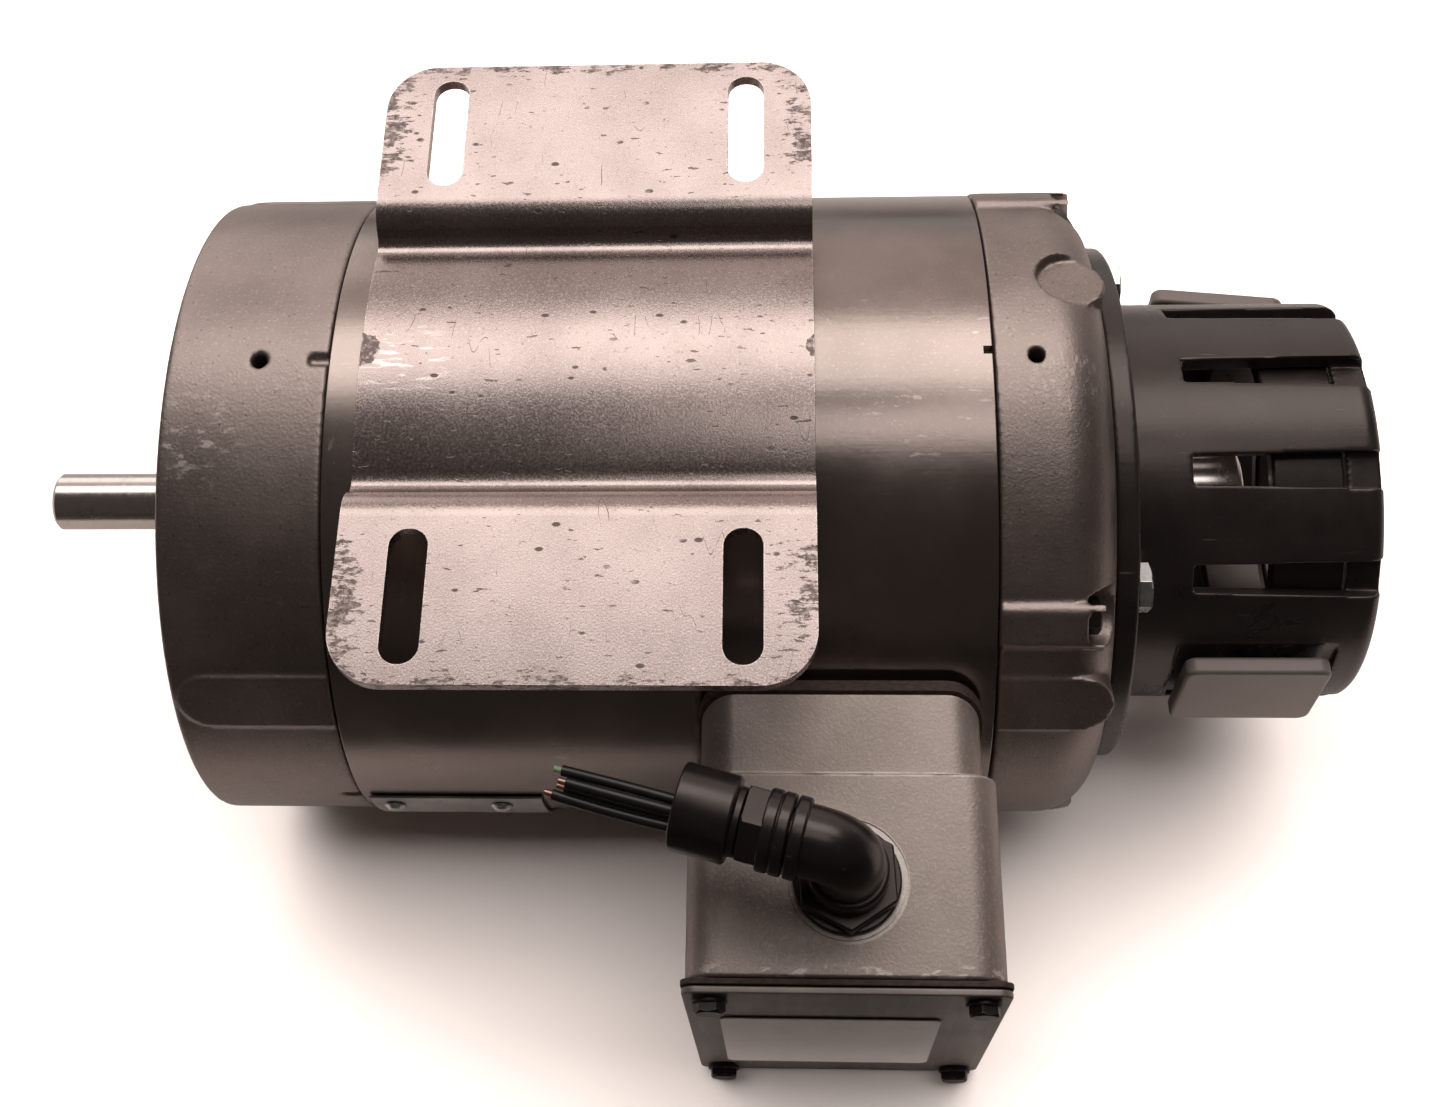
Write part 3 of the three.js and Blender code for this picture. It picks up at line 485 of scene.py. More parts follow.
class Recipe(Graph):
    """Builds one procedural material. Places in it are in the motor's millimetres."""

    def __init__(self, name):
        self.material = bpy.data.materials.new(name)
        super().__init__(self.material)
        metres = self.node("TexCoord").outputs["Object"]
        scaled = self.node("VectorMath", {0: metres, 1: (1 / MM,) * 3}, operation="MULTIPLY").outputs[0]
        origin = (SHAFT_END, 0, SHAFT_HEIGHT)
        self.place = self.node("VectorMath", {0: scaled, 1: origin}, operation="ADD").outputs[0]

    def scattered(self, size, stretch, shift):
        """The place in units of a feature's size in millimetres."""
        squeezed = tuple(1 / (size * s) for s in stretch)
        place = self.node("VectorMath", {0: self.place, 1: squeezed}, operation="MULTIPLY").outputs[0]
        return self.node("VectorMath", {0: place, 1: (shift,) * 3}, operation="ADD").outputs[0]

    def noise(self, size, detail=3.0, roughness=0.55, stretch=(1, 1, 1), shift=0.0):
        """Soft random values around 0.5."""
        place = self.scattered(size, stretch, shift)
        inputs = {"Vector": place, "Scale": 1.0, "Detail": detail, "Roughness": roughness}
        return self.node("TexNoise", inputs).outputs[0]

    def cells(self, size, stretch=(1, 1, 1), shift=0.0):
        """The distance to the nearest of many scattered points, 0 at a point."""
        place = self.scattered(size, stretch, shift)
        return self.node("TexVoronoi", {"Vector": place, "Scale": 1.0}).outputs["Distance"]

    def axis(self, letter):
        return self.node("SeparateXYZ", {0: self.place}).outputs["XYZ".index(letter)]

    def distance(self, point):
        return self.node("VectorMath", {0: self.place, 1: point}, operation="DISTANCE").outputs["Value"]

    def near(self, point, reach):
        """1 at a point, falling to 0 at its reach."""
        return self.step(self.distance(point), reach, reach * 0.25)

    def scuff(self, point, reach, size, low, high, stretch, detail=6, roughness=0.7):
        """Ragged marks within reach of a point."""
        pattern = self.noise(size, detail, roughness, stretch)
        return self.product(self.near(point, reach), self.step(pattern, low, high))

    def over(self, base, mask, amount, tone):
        """The base with a tone laid on it, as strongly as the amount where the mask is 1."""
        return self.mixed(self.product(mask, amount), base, tone)

    def edges(self, radius, low=0.01, high=0.12):
        """1 along the object's outer and inner edges, within a radius in millimetres."""
        worn = self.node("Bevel", {"Radius": radius * MM}, samples=4).outputs[0]
        plain = self.node("NewGeometry").outputs["Normal"]
        facing = self.node("VectorMath", {0: worn, 1: plain}, operation="DOT_PRODUCT").outputs["Value"]
        return self.step(self.math("SUBTRACT", 1.0, facing), low, high)

    def bump(self, height, depth, strength=1.0, normal=None):
        """A relief of a height map. The depth is in millimetres."""
        inputs = {"Height": height, "Distance": depth * MM, "Strength": strength}
        if normal is not None:
            inputs["Normal"] = normal
        return self.node("Bump", inputs).outputs[0]

    def finish(self, base, roughness, metallic=0.0, normal=None, **others):
        inputs = {"Base Color": colour(base), "Roughness": roughness, "Metallic": metallic}
        if normal is not None:
            inputs["Normal"] = normal
        inputs.update({key.replace("_", " "): value for key, value in others.items()})
        surface = self.node("BsdfPrincipled", inputs).outputs[0]
        self.node("OutputMaterial", {"Surface": surface})
        return self.material


def colour(value):
    """A socket as it is, or three numbers with an alpha of 1."""
    if isinstance(value, bpy.types.NodeSocket):
        return value
    return (*value, 1.0)


def shade(tone, factor):
    return tuple(channel * factor for channel in tone)


PAINT = (0.30, 0.245, 0.222)


def band_paint():
    """Smooth dark enamel with faint rolling marks, fine grit and a few bright rubs."""
    r = Recipe("band_paint")
    cloud = r.noise(38, 4)
    grit = r.noise(0.5, 2)
    lines = r.noise(1.1, 2, stretch=(22, 1, 1))
    flecks = r.step(r.noise(2.2, 4, stretch=(3, 1, 1), shift=7), 0.66, 0.72)
    rub = r.product(flecks, r.step(cloud, 0.45, 0.7))
    rear_marks = r.scuff((-76, -19, 7), 13, 1.6, 0.60, 0.66, (3, 1, 1), 4, 0.55)
    front_marks = r.scuff((54, -32, 12), 22, 2.2, 0.62, 0.72, (1, 3, 1), 4, 0.55)
    marks = r.larger(r.product(rear_marks, 0.7), r.product(front_marks, 0.6))
    base = r.mixed(r.step(cloud, 0.3, 0.75), shade(PAINT, 0.80), shade(PAINT, 1.08))
    base = r.over(base, r.step(grit, 0.6, 0.75), 0.35, shade(PAINT, 1.7))
    base = r.mixed(r.larger(r.product(rub, 0.35), marks), base, (0.62, 0.55, 0.51))
    roughness = r.between(r.step(cloud, 0.3, 0.8), 0.21, 0.29)
    roughness = r.between(marks, roughness, 0.45)
    relief = r.bump(r.larger(r.product(grit, 0.5), r.product(lines, 0.8)), 0.02, 0.6)
    relief = r.bump(r.noise(1.9, 2), 0.035, 0.5, relief)
    return r.finish(base, roughness, 0.95, relief)


def casting_paint():
    """Matt paint over a sand-cast skin, chalky where it is rubbed."""
    r = Recipe("casting_paint")
    cloud = r.step(r.noise(30, 4, shift=3), 0.3, 0.75)
    grain = r.noise(0.75, 3)
    pits = r.step(r.cells(2.6), 0.16, 0.05)
    scuffs = r.larger(
        r.scuff((95, -20, 8), 17, 1.5, 0.54, 0.60, (3, 1.4, 1)),
        r.scuff((-114, -4, 9), 12, 1.7, 0.53, 0.61, (0.8, 2, 1)),
        r.scuff((-115, -13, 10), 8, 1.2, 0.56, 0.62, (1, 3, 1)),
    )
    dust = r.product(r.step(r.noise(5.5, 6, 0.7, shift=11), 0.6, 0.78), 0.4)
    edge = r.product(r.edges(0.9), r.step(r.noise(4, 4, shift=5), 0.42, 0.6))
    base = r.mixed(cloud, shade(PAINT, 0.86), shade(PAINT, 1.16))
    base = r.over(base, r.step(grain, 0.55, 0.75), 0.4, shade(PAINT, 1.9))
    base = r.over(base, pits, 0.55, shade(PAINT, 0.35))
    base = r.mixed(dust, base, (0.50, 0.42, 0.38))
    base = r.over(base, edge, 0.5, (0.62, 0.53, 0.48))
    base = r.over(base, scuffs, 0.6, (0.70, 0.62, 0.575))
    roughness = r.between(cloud, 0.40, 0.47)
    roughness = r.between(r.larger(scuffs, dust), roughness, 0.6)
    relief = r.bump(grain, 0.10, 0.8)
    relief = r.bump(r.noise(4.5, 3), 0.12, 0.5, relief)
    return r.finish(base, roughness, 0.88, relief)


def base_wear(r, speck):
    """Where the base's paint is gone: along its ends, in nicks and dashes, and in chips beside the saddle."""
    end = r.step(r.math("ABSOLUTE", r.axis("X")), 39, 54)
    across_base = r.math("ABSOLUTE", r.axis("Y"))
    foot = r.step(across_base, 42, 56)
    lip = r.step(across_base, 77.5, 83.5)
    strokes = r.noise(1.5, 6, 0.72, stretch=(3.2, 1, 1), shift=4)
    reach = r.larger(r.product(end, foot), r.product(lip, 0.85), r.product(end, 0.15))
    reach = r.product(reach, r.between(r.step(r.noise(7, 3, shift=6), 0.35, 0.65), 0.14, 0.31))
    worn = r.step(r.math("ADD", strokes, reach), 0.70, 0.77)
    nick = r.product(r.step(r.cells(6, stretch=(1.5, 0.8, 1)), 0.14, 0.08),
                     r.step(r.noise(12, 2), 0.48, 0.54))
    dash = r.product(r.step(r.noise(1.5, 3, 0.5, stretch=(2.6, 0.8, 1), shift=13), 0.66, 0.70),
                     r.step(r.noise(21, 2, shift=2), 0.42, 0.5))
    wander = r.math("SUBTRACT", r.noise(17, 2, 0.3, stretch=(0.5, 2, 1)), 0.5)
    scratch = r.step(r.math("ABSOLUTE", wander), 0.0016, 0.0006)
    scratch = r.product(scratch, r.step(r.noise(11, 2, shift=9), 0.58, 0.64))
    ragged = r.product(r.noise(3, 4, 0.6), 1.1)
    chip = r.larger(r.step(r.math("ADD", r.near((55, 1, 2), 8), ragged), 1.10, 1.18),
                    r.step(r.math("ADD", r.near((-56, 1, 2), 5.5), ragged), 1.12, 1.20))
    chip = r.product(chip, r.between(r.step(speck, 0.36, 0.52), 0.25, 0.85))
    worn = r.product(worn, r.between(r.step(speck, 0.35, 0.6), 0.35, 0.9))
    return r.larger(worn, r.product(nick, 0.9), r.product(dash, 0.7), r.product(scratch, 0.7), chip)


def base_paint():
    """Pale paint on pressed sheet: grainy, nicked all over, and worn dark along its ends."""
    r = Recipe("base_paint")
    grain = r.noise(0.5, 3)
    speck = r.noise(1.3, 4, 0.65)
    dark = base_wear(r, speck)
    scrape = r.scuff((44, -3, 2), 15, 1.5, 0.54, 0.62, (5, 1, 1), 5, 0.55)
    base = r.mixed(r.step(r.noise(26, 4, shift=1), 0.3, 0.7), (0.29, 0.232, 0.216), (0.365, 0.296, 0.277))
    base = r.over(base, r.step(grain, 0.48, 0.68), 0.55, (0.50, 0.42, 0.395))
    base = r.over(base, r.step(speck, 0.58, 0.70), 0.45, (0.15, 0.114, 0.104))
    base = r.over(base, scrape, 0.7, (0.62, 0.55, 0.52))
    base = r.mixed(dark, base, (0.085, 0.063, 0.057))
    base = r.mixed(r.product(r.edges(0.6), r.step(r.noise(3.1, 4), 0.44, 0.56)), base, (0.60, 0.54, 0.51))
    roughness = r.between(r.step(grain, 0.35, 0.7), 0.23, 0.31)
    roughness = r.between(dark, roughness, 0.45)
    relief = r.bump(grain, 0.038, 0.75)
    relief = r.bump(dark, -0.05, 0.8, relief)
    return r.finish(base, roughness, 0.95, relief)


def box_paint():
    """Fine hammer-finish paint, rubbed bright along the step, with a painted highlight on the -X side of the
    knockout's score ring.
    """
    r = Recipe("box_paint")
    grain = r.noise(0.7, 3)
    y = r.axis("Y")
    step_line = r.product(r.step(y, BOX_SHOULDER_Y - 1.1, BOX_SHOULDER_Y - 0.2),
                          r.step(y, BOX_SHOULDER_Y + 1.3, BOX_SHOULDER_Y + 0.3))
    rubbed = r.product(step_line, r.step(r.noise(3.6, 4, stretch=(2, 1, 1)), 0.36, 0.55))
    chipped = r.product(r.step(y, BOX_RIM_Y + 3.6, BOX_RIM_Y + 1.6),
                        r.step(r.noise(3.4, 5, 0.65, stretch=(2.4, 1, 1)), 0.55, 0.6))
    edge = r.product(r.edges(1.0), r.step(r.noise(3, 4, shift=6), 0.45, 0.6))
    from_hole = r.distance((FITTING.x, FITTING.y, BOX_NEAR_Z))
    # Painted highlight: a lighter crescent round the knockout's score ring, on its -X side only, where light
    # falls on the groove.
    score_highlight = r.product(r.step(from_hole, KNOCKOUT_RING - 1.9, KNOCKOUT_RING - 1.3),
                      r.step(from_hole, KNOCKOUT_RING + 0.3, KNOCKOUT_RING))
    score_highlight = r.product(score_highlight, r.step(r.axis("X"), FITTING.x + 5, FITTING.x - 6))
    nick = r.product(r.step(r.cells(12), 0.075, 0.035), r.step(r.noise(16, 2), 0.45, 0.6))
    rim = r.step(y, BOX_RIM_Y + 1.5, BOX_RIM_Y + 0.2)
    base = r.mixed(r.step(r.noise(24, 3, shift=2), 0.3, 0.7), (0.30, 0.243, 0.215), (0.37, 0.305, 0.272))
    base = r.over(base, r.step(grain, 0.52, 0.72), 0.5, (0.56, 0.48, 0.44))
    base = r.over(base, edge, 0.45, (0.55, 0.48, 0.44))
    base = r.mixed(r.larger(r.product(rubbed, 0.85), r.product(chipped, 0.7)), base, (0.74, 0.67, 0.62))
    # Lays on the painted highlight of the score ring.
    base = r.over(base, score_highlight, 0.8, (0.66, 0.59, 0.55))
    base = r.mixed(r.larger(r.product(nick, 0.8), r.product(rim, 0.5)), base, (0.09, 0.062, 0.052))
    relief = r.bump(grain, 0.09, 0.8)
    relief = r.bump(r.noise(2.6, 2), 0.06, 0.5, relief)
    return r.finish(base, r.between(r.step(grain, 0.35, 0.7), 0.40, 0.50), 0.5, relief)


def lid_paint():
    """Smooth dark grey paint with faint vertical streaks."""
    r = Recipe("lid_paint")
    streak = r.noise(1.6, 3, stretch=(1, 1, 12))
    base = r.mixed(r.step(r.noise(22, 3), 0.3, 0.7), (0.19, 0.158, 0.142), (0.25, 0.212, 0.192))
    base = r.over(base, r.step(streak, 0.5, 0.8), 0.3, (0.36, 0.31, 0.285))
    base = r.over(base, r.edges(0.6), 0.6, (0.48, 0.42, 0.385))
    roughness = r.between(r.step(streak, 0.3, 0.7), 0.38, 0.47)
    return r.finish(base, roughness, 0.5, r.bump(r.noise(0.9, 2), 0.03, 0.6))


def turned_steel(name, tone, roughness, stain=0.25, stretch=(0.12, 1, 1)):
    """Bare or plated steel with fine tool marks and a little staining."""
    r = Recipe(name)
    marks = r.noise(2.2, 3, stretch=stretch)
    fine = r.step(marks, 0.3, 0.7)
    stains = r.product(r.step(r.noise(4.5, 5, 0.6), 0.5, 0.72), stain)
    base = r.mixed(fine, shade(tone, 0.86), tone)
    base = r.mixed(stains, base, (0.23, 0.17, 0.13))
    rough = r.between(fine, roughness * 0.8, roughness * 1.25)
    rough = r.between(stains, rough, 0.55)
    return r.finish(base, rough, 0.95, r.bump(marks, 0.012, 0.6))


def black_oxide():
    r = Recipe("black_screw")
    wear = r.product(r.edges(0.35), r.step(r.noise(1.6, 4), 0.4, 0.6))
    base = r.mixed(r.noise(2.5, 3), (0.022, 0.018, 0.016), (0.05, 0.042, 0.038))
    base = r.over(base, wear, 0.6, (0.30, 0.27, 0.25))
    return r.finish(base, r.between(r.noise(1.1, 2), 0.28, 0.46), 0.7, r.bump(r.noise(0.8, 3), 0.03, 0.5))


def moulded(name, dark, light, roughness, grain=0.03, bloom=0.0):
    """Moulded plastic: a faint spark texture, handling marks and a dusty bloom."""
    r = Recipe(name)
    cloud = r.noise(17, 4, 0.6)
    soft = r.step(cloud, 0.25, 0.75)
    dust = r.product(r.step(r.noise(1.3, 5, 0.7), 0.62, 0.75), r.step(cloud, 0.4, 0.7))
    scratch = r.step(r.noise(1.0, 3, stretch=(14, 1, 1), shift=8), 0.70, 0.76)
    pale = r.larger(r.product(dust, 0.30 + bloom), r.product(scratch, 0.25))
    base = r.mixed(pale, r.mixed(soft, dark, light), (0.42, 0.37, 0.34))
    rough = r.between(soft, roughness * 0.88, roughness * 1.15)
    rough = r.between(r.larger(r.product(dust, 0.35), r.product(scratch, 0.4)), rough, 0.6)
    relief = r.bump(r.noise(0.45, 2), grain, 0.7)
    relief = r.bump(r.noise(9, 2), 0.12, 0.35, relief)
    return r.finish(base, rough, 0.0, relief, Specular_IOR_Level=0.62, Specular_Tint=(1.0, 0.85, 0.79, 1.0))


def gasket_sheet():
    r = Recipe("gasket")
    fibre = r.noise(0.6, 4, stretch=(3, 1, 1))
    base = r.mixed(r.step(fibre, 0.3, 0.7), (0.030, 0.017, 0.013), (0.085, 0.048, 0.037))
    return r.finish(base, r.between(fibre, 0.62, 0.85), 0.0, r.bump(fibre, 0.06, 0.8))


def lamination_stack():
    """Sheet edges stacked along the shaft."""
    r = Recipe("lamination")
    sheets = r.node("TexWave", {"Vector": r.place, "Scale": 0.32, "Distortion": 0.4},
                    bands_direction="X").outputs["Fac"]
    base = r.mixed(sheets, (0.16, 0.155, 0.155), (0.34, 0.335, 0.335))
    base = r.over(base, r.step(r.noise(9, 4), 0.5, 0.75), 0.4, (0.22, 0.13, 0.08))
    return r.finish(base, r.between(sheets, 0.35, 0.6), 0.85, r.bump(sheets, 0.06, 0.7))


def cast_aluminium():
    r = Recipe("cast_aluminium")
    grain = r.noise(1.2, 4)
    base = r.mixed(r.step(r.noise(14, 4), 0.3, 0.7), (0.36, 0.33, 0.31), (0.50, 0.47, 0.45))
    base = r.over(base, r.step(r.noise(2.4, 5), 0.6, 0.72), 0.5, (0.20, 0.165, 0.15))
    return r.finish(base, r.between(grain, 0.32, 0.5), 0.85, r.bump(grain, 0.03, 0.6))


def wound_wire():
    """Varnished turns lying round the end of the core."""
    r = Recipe("enamelled_wire")
    turns = r.node("TexWave", {"Vector": r.place, "Scale": 0.22, "Distortion": 1.6, "Detail": 2.0},
                   wave_type="RINGS", rings_direction="X").outputs["Fac"]
    base = r.mixed(turns, (0.12, 0.035, 0.012), (0.42, 0.16, 0.05))
    return r.finish(base, r.between(turns, 0.28, 0.42), 0.3, r.bump(turns, 0.35, 0.9))


def insulated(name, tone):
    r = Recipe(name)
    base = r.mixed(r.noise(3.5, 3), shade(tone, 0.7), shade(tone, 1.3))
    return r.finish(base, r.between(r.noise(1.4, 2), 0.3, 0.46), 0.0, r.bump(r.noise(0.7, 2), 0.02, 0.5))


def label_film():
    """A pale printed-stock label, left blank and a little soiled."""
    r = Recipe("label_film")
    soil = r.step(r.noise(7, 5, 0.65), 0.5, 0.75)
    base = r.mixed(r.product(soil, 0.22), (0.98, 0.91, 0.87), (0.68, 0.60, 0.56))
    base = r.over(base, r.edges(0.5), 0.5, (0.66, 0.60, 0.57))
    return r.finish(base, r.between(soil, 0.38, 0.55), 0.0, r.bump(r.noise(2.2, 3), 0.03, 0.5))


MATERIALS = {
    "band_paint": band_paint(),
    "casting_paint": casting_paint(),
    "base_paint": base_paint(),
    "box_paint": box_paint(),
    "lid_paint": lid_paint(),
    "steel": turned_steel("steel", (0.62, 0.56, 0.53), 0.20, 0.15),
    "bearing_steel": turned_steel("bearing_steel", (0.62, 0.61, 0.60), 0.14, 0.1),
    "zinc": turned_steel("zinc", (0.66, 0.67, 0.66), 0.28, 0.2, (1, 1, 1)),
    "black_screw": black_oxide(),
    "lamination": lamination_stack(),
    "cast_aluminium": cast_aluminium(),
    "enamelled_wire": wound_wire(),
    "brass": turned_steel("brass", (0.58, 0.40, 0.17), 0.26, 0.15, (1, 1, 1)),
    "black_plastic": moulded("black_plastic", (0.020, 0.0155, 0.0145), (0.034, 0.027, 0.025), 0.29),
    "grey_plastic": moulded("grey_plastic", (0.21, 0.175, 0.160), (0.26, 0.222, 0.205), 0.42, 0.025, 0.1),
    "rubber": moulded("rubber", (0.012, 0.010, 0.0095), (0.03, 0.026, 0.024), 0.7, 0.05, 0.1),
    "gasket": gasket_sheet(),
    "insulation": insulated("insulation", (0.012, 0.0105, 0.0105)),
    "label_film": label_film(),
}
FITTING_PLASTIC = moulded("fitting_plastic", (0.0075, 0.0062, 0.006), (0.014, 0.0115, 0.011), 0.30, 0.015)
COPPER = turned_steel("copper", (0.50, 0.30, 0.22), 0.38, 0.3, (1, 1, 1))
GREEN_WIRE = insulated("green_wire", (0.26, 0.36, 0.19))

for name, piece in frame["nodes"].items():
    piece.data.materials.clear()
    piece.data.materials.append(MATERIALS[SLOT_OF[name]])


# ---------------------------------------------------------------- casing

def band():
    tube = turned([(BAND_REAR, BAND_RADIUS - BAND_WALL, 0.3), (BAND_REAR, BAND_RADIUS, 0.3),
                   (BAND_FRONT, BAND_RADIUS, 0.3), (BAND_FRONT, BAND_RADIUS - BAND_WALL, 0.3)])
    holes = [moved(rod(*THROUGH_WALL, radius), at(BOX_X + x) @ spun(-QUARTER, "Z"))
             for x, radius in TOP_HOLES]
    notch = moved(block(BAND_REAR - 1, BAND_REAR + 2.2, -1.1, 1.1, -90, -80), spun(0.016))
    return moved(cut(tube, notch, *holes), ON_SHAFT)


def base_centre_line():
    """Half of the cradle's section, from the middle outwards: saddle, bends, riser and flat foot."""
    saddle = BAND_RADIUS + GAP + BASE_SHEET / 2
    line = []
    for step in range(21):
        angle = math.radians(step * 19 / 20)
        line.append(Vector((saddle * math.sin(angle), SHAFT_HEIGHT - saddle * math.cos(angle))))
    line += bezier(line[-1], (34.5, 10.9), (37, 5.6), 14)[1:]
    line += bezier((37, 5.6), (38.8, BASE_SHEET / 2), (44, BASE_SHEET / 2), 14)[1:]
    return line + [Vector((BASE_WIDTH / 2 + 2, BASE_SHEET / 2))]


def sheet_outline(line, thickness):
    """A sheet of constant thickness along a centre line and its mirror image."""
    whole = [Vector((-point.x, point.y)) for point in reversed(line[1:])] + line
    upper, lower = [], []
    for i, point in enumerate(whole):
        along = (whole[min(i + 1, len(whole) - 1)] - whole[max(i - 1, 0)]).normalized()
        across = Vector((-along.y, along.x)) * (thickness / 2)
        upper.append(tuple(point + across))
        lower.append(tuple(point - across))
    return upper + lower[::-1]


def base_plate():
    sheet = along_x(sheet_outline(base_centre_line(), BASE_SHEET), -BASE_LENGTH / 2 - 2, BASE_LENGTH / 2 + 2)
    plan = raised(rectangle(BASE_LENGTH, BASE_WIDTH, FOOT_CORNER, steps=14), *THROUGH_BASE)
    slots = [raised(rectangle(SLOT_WIDTH, SLOT_LENGTH, SLOT_WIDTH / 2 - 0.01, (x, y), 12), *THROUGH_BASE)
             for x in (-SLOT_PITCH_X / 2, SLOT_PITCH_X / 2) for y in (-SLOT_CENTRE_Y, SLOT_CENTRE_Y)]
    return softened(cut(common(sheet, plan), *slots), 0.35, 2, 50)


def pad_outline(x0, x1, width, steps=12):
    """Square at the seam x0 and round at its other end x1."""
    away, half = math.copysign(1, x1 - x0), width / 2
    arc = [(x1 - away * half + away * half * math.cos(a), half * math.sin(a))
           for a in (math.pi * (i / steps - 0.5) for i in range(steps + 1))]
    return [(x0, -half)] + arc + [(x0, half)]


def drain_hole(x):
    return moved(rod(*THROUGH_WALL, 2), at(x) @ spun(QUARTER, "Y"))


def drive_endplate():
    shell = turned([
        (BAND_FRONT - LIP_LENGTH, INSIDE_RADIUS), (BAND_FRONT - LIP_LENGTH, LIP_RADIUS),
        (BAND_FRONT + GAP, LIP_RADIUS), (BAND_FRONT + GAP, CASTING_RADIUS, 0.2),
        (FACE_X, CASTING_RADIUS, 1.2), (FACE_X, REGISTER_RADIUS), (FACE_X + 4, REGISTER_RADIUS, 0.8),
        (FACE_X + 4, 44, 0.8), (FACE_X + 1, 38), (FACE_X + 1, 8.8), (100.8, 8.8), (100.8, 21),
        (DRIVE_BEARING_FRONT, 21), (DRIVE_BEARING_FRONT, DRIVE_BORE), (83, DRIVE_BORE), (83, 33),
        (94, 36), (95, 70), (90, INSIDE_RADIUS),
    ])
    lug = moved(rod(BAND_FRONT + GAP, 94.5, 9), at(0, 0, -73.5))
    face_hole = moved(rod(90.5, FACE_X + 1, 4.1), at(0, 0, -FACE_HOLE_CIRCLE))
    bolt_hole = moved(rod(50, 80, 2.7), at(0, 0, -BOLT_CIRCLE))
    notch = block(BAND_FRONT - 1, BAND_FRONT + 5.5, -1.5, 1.5, -90, -82)
    pad = raised(pad_outline(BAND_FRONT + GAP, FACE_X - 2, PAD_WIDTH), -84.1, -80)
    casting = join(shell, *clocked(lug, BOLT_CLOCKS), *clocked(pad, PAD_CLOCKS))
    cut(casting, *clocked(face_hole, BOLT_CLOCKS), *clocked(bolt_hole, BOLT_CLOCKS),
        drain_hole(DRAIN_HOLES_X[0]), *clocked(notch, (0, -90)))
    return moved(cast(casting, 0.62, 3), ON_SHAFT)


def arc_points(centre, radius, start, end, steps):
    angles = [math.radians(start + (end - start) * i / steps) for i in range(steps + 1)]
    return [(centre[0] + radius * math.cos(a), centre[1] + radius * math.sin(a), 0) for a in angles]


def rear_endshield():
    shell = turned([
        (BAND_REAR + LIP_LENGTH, INSIDE_RADIUS), (BAND_REAR + LIP_LENGTH, LIP_RADIUS),
        (BAND_REAR - GAP, LIP_RADIUS), (BAND_REAR - GAP, CASTING_RADIUS, 0.2),
        *arc_points((REAR_FACE_X + DOME_RADIUS, CASTING_RADIUS - DOME_RADIUS), DOME_RADIUS, 90, 180, 16),
        (REAR_FACE_X, 7), (-119.6, 7), (-119.6, REAR_BORE), (-104.8, REAR_BORE), (-104.8, 26), (-117, 30),
        (-118.5, 66), (-110, INSIDE_RADIUS),
    ])
    rib = along_x(rounded([(-5.8, -66), (5.8, -66), (5.8, -85.4, 2.2), (-5.8, -85.4, 2.2)], 0.3),
                  BOLT_SEAT_X - 4, BAND_REAR - GAP)
    pad = raised(pad_outline(BAND_REAR - GAP, -125.4, PAD_WIDTH), -84, -62)
    seat = moved(rod(-140, BOLT_SEAT_X, 7.6), at(0, 0, -BOLT_CIRCLE - 1))
    bolt_hole = moved(rod(-125, -85, 2.8), at(0, 0, -BOLT_CIRCLE))
    guard_hole = moved(rod(-140, -110, 3.5), at(0, 0, -GUARD_BOLT_CIRCLE))
    spot = spun(math.radians(17)) @ at(-118.2)
    outward = spun(QUARTER, "Y")
    clearance = moved(rod(80.4, 95, 8.7, 48), spot @ outward)
    boss = moved(rod(62, 80.4, 8.3, 48), spot @ outward)
    casting = join(shell, *clocked(rib, BOLT_CLOCKS), *clocked(pad, PAD_CLOCKS))
    join(cut(casting, clearance), boss)
    cut(casting, *clocked(seat, BOLT_CLOCKS), *clocked(bolt_hole, BOLT_CLOCKS), drain_hole(DRAIN_HOLES_X[1]),
        *clocked(guard_hole, BOLT_CLOCKS))
    return moved(cast(casting, 0.58, 4), ON_SHAFT)


def hex_screw(radius, length, flats, head, washer=0.0):
    """A screw along X. The underside of its head is at x = 0 and the head grows towards -X."""
    shank = turned([(-head / 2, 0, 0), (-head / 2, radius, 0), *thread(radius, length), (length, 0, 0)],
                   SMALL, 0)
    crown = turned([(-head, 0, 0), (-head, flats * 0.47, 0), (-head + 0.45, flats * 0.53, 0),
                    (-head + 0.9, flats * 0.7, 0), (0.5, flats * 0.7, 0), (0.5, 0, 0)], SMALL, 0)
    block_of_head = softened(along_x(regular(6, flats), -head, 0), 0.18, 2)
    parts = [common(block_of_head, crown)]
    if washer:
        parts.append(disc(-1.0, 0, washer, 0.3))
    return join(shank, *parts)


def thread(radius, length, pitch=1.25):
    """Thread ridges along the last part of a shank."""
    ridges = []
    x = max(length * 0.4, length - 14)
    while x < length - pitch:
        ridges += [(x, radius, 0), (x + pitch / 2, radius * 0.88, 0)]
        x += pitch
    return ridges + [(length - 0.6, radius, 0), (length, radius * 0.8, 0)]


place(band(), "band")
place(base_plate(), "base_plate")
place(drive_endplate(), "drive_endplate", sharp_angle=60)
place(rear_endshield(), "rear_endshield", sharp_angle=60)

through_bolt = hex_screw(2.4, 196, 8, 3.4)
guard_bolt = hex_screw(3.1, 15, 11.1, 3.4)
for i, angle in enumerate(BOLT_CLOCKS):
    seat = clock(angle) @ at(BOLT_SEAT_X - GAP, 0, -BOLT_CIRCLE)
    place(copied(through_bolt, seat @ spun(0.2 + 0.4 * i)), f"through_bolt_{i + 1}")
    seat = clock(angle) @ at(GUARD_DISC_REAR - GAP, 0, -GUARD_BOLT_CIRCLE)
    place(copied(guard_bolt, seat @ spun(0.25 + 0.3 * i)), f"guard_bolt_{i + 1}")
discard(through_bolt)
discard(guard_bolt)


# ---------------------------------------------------------------- shaft

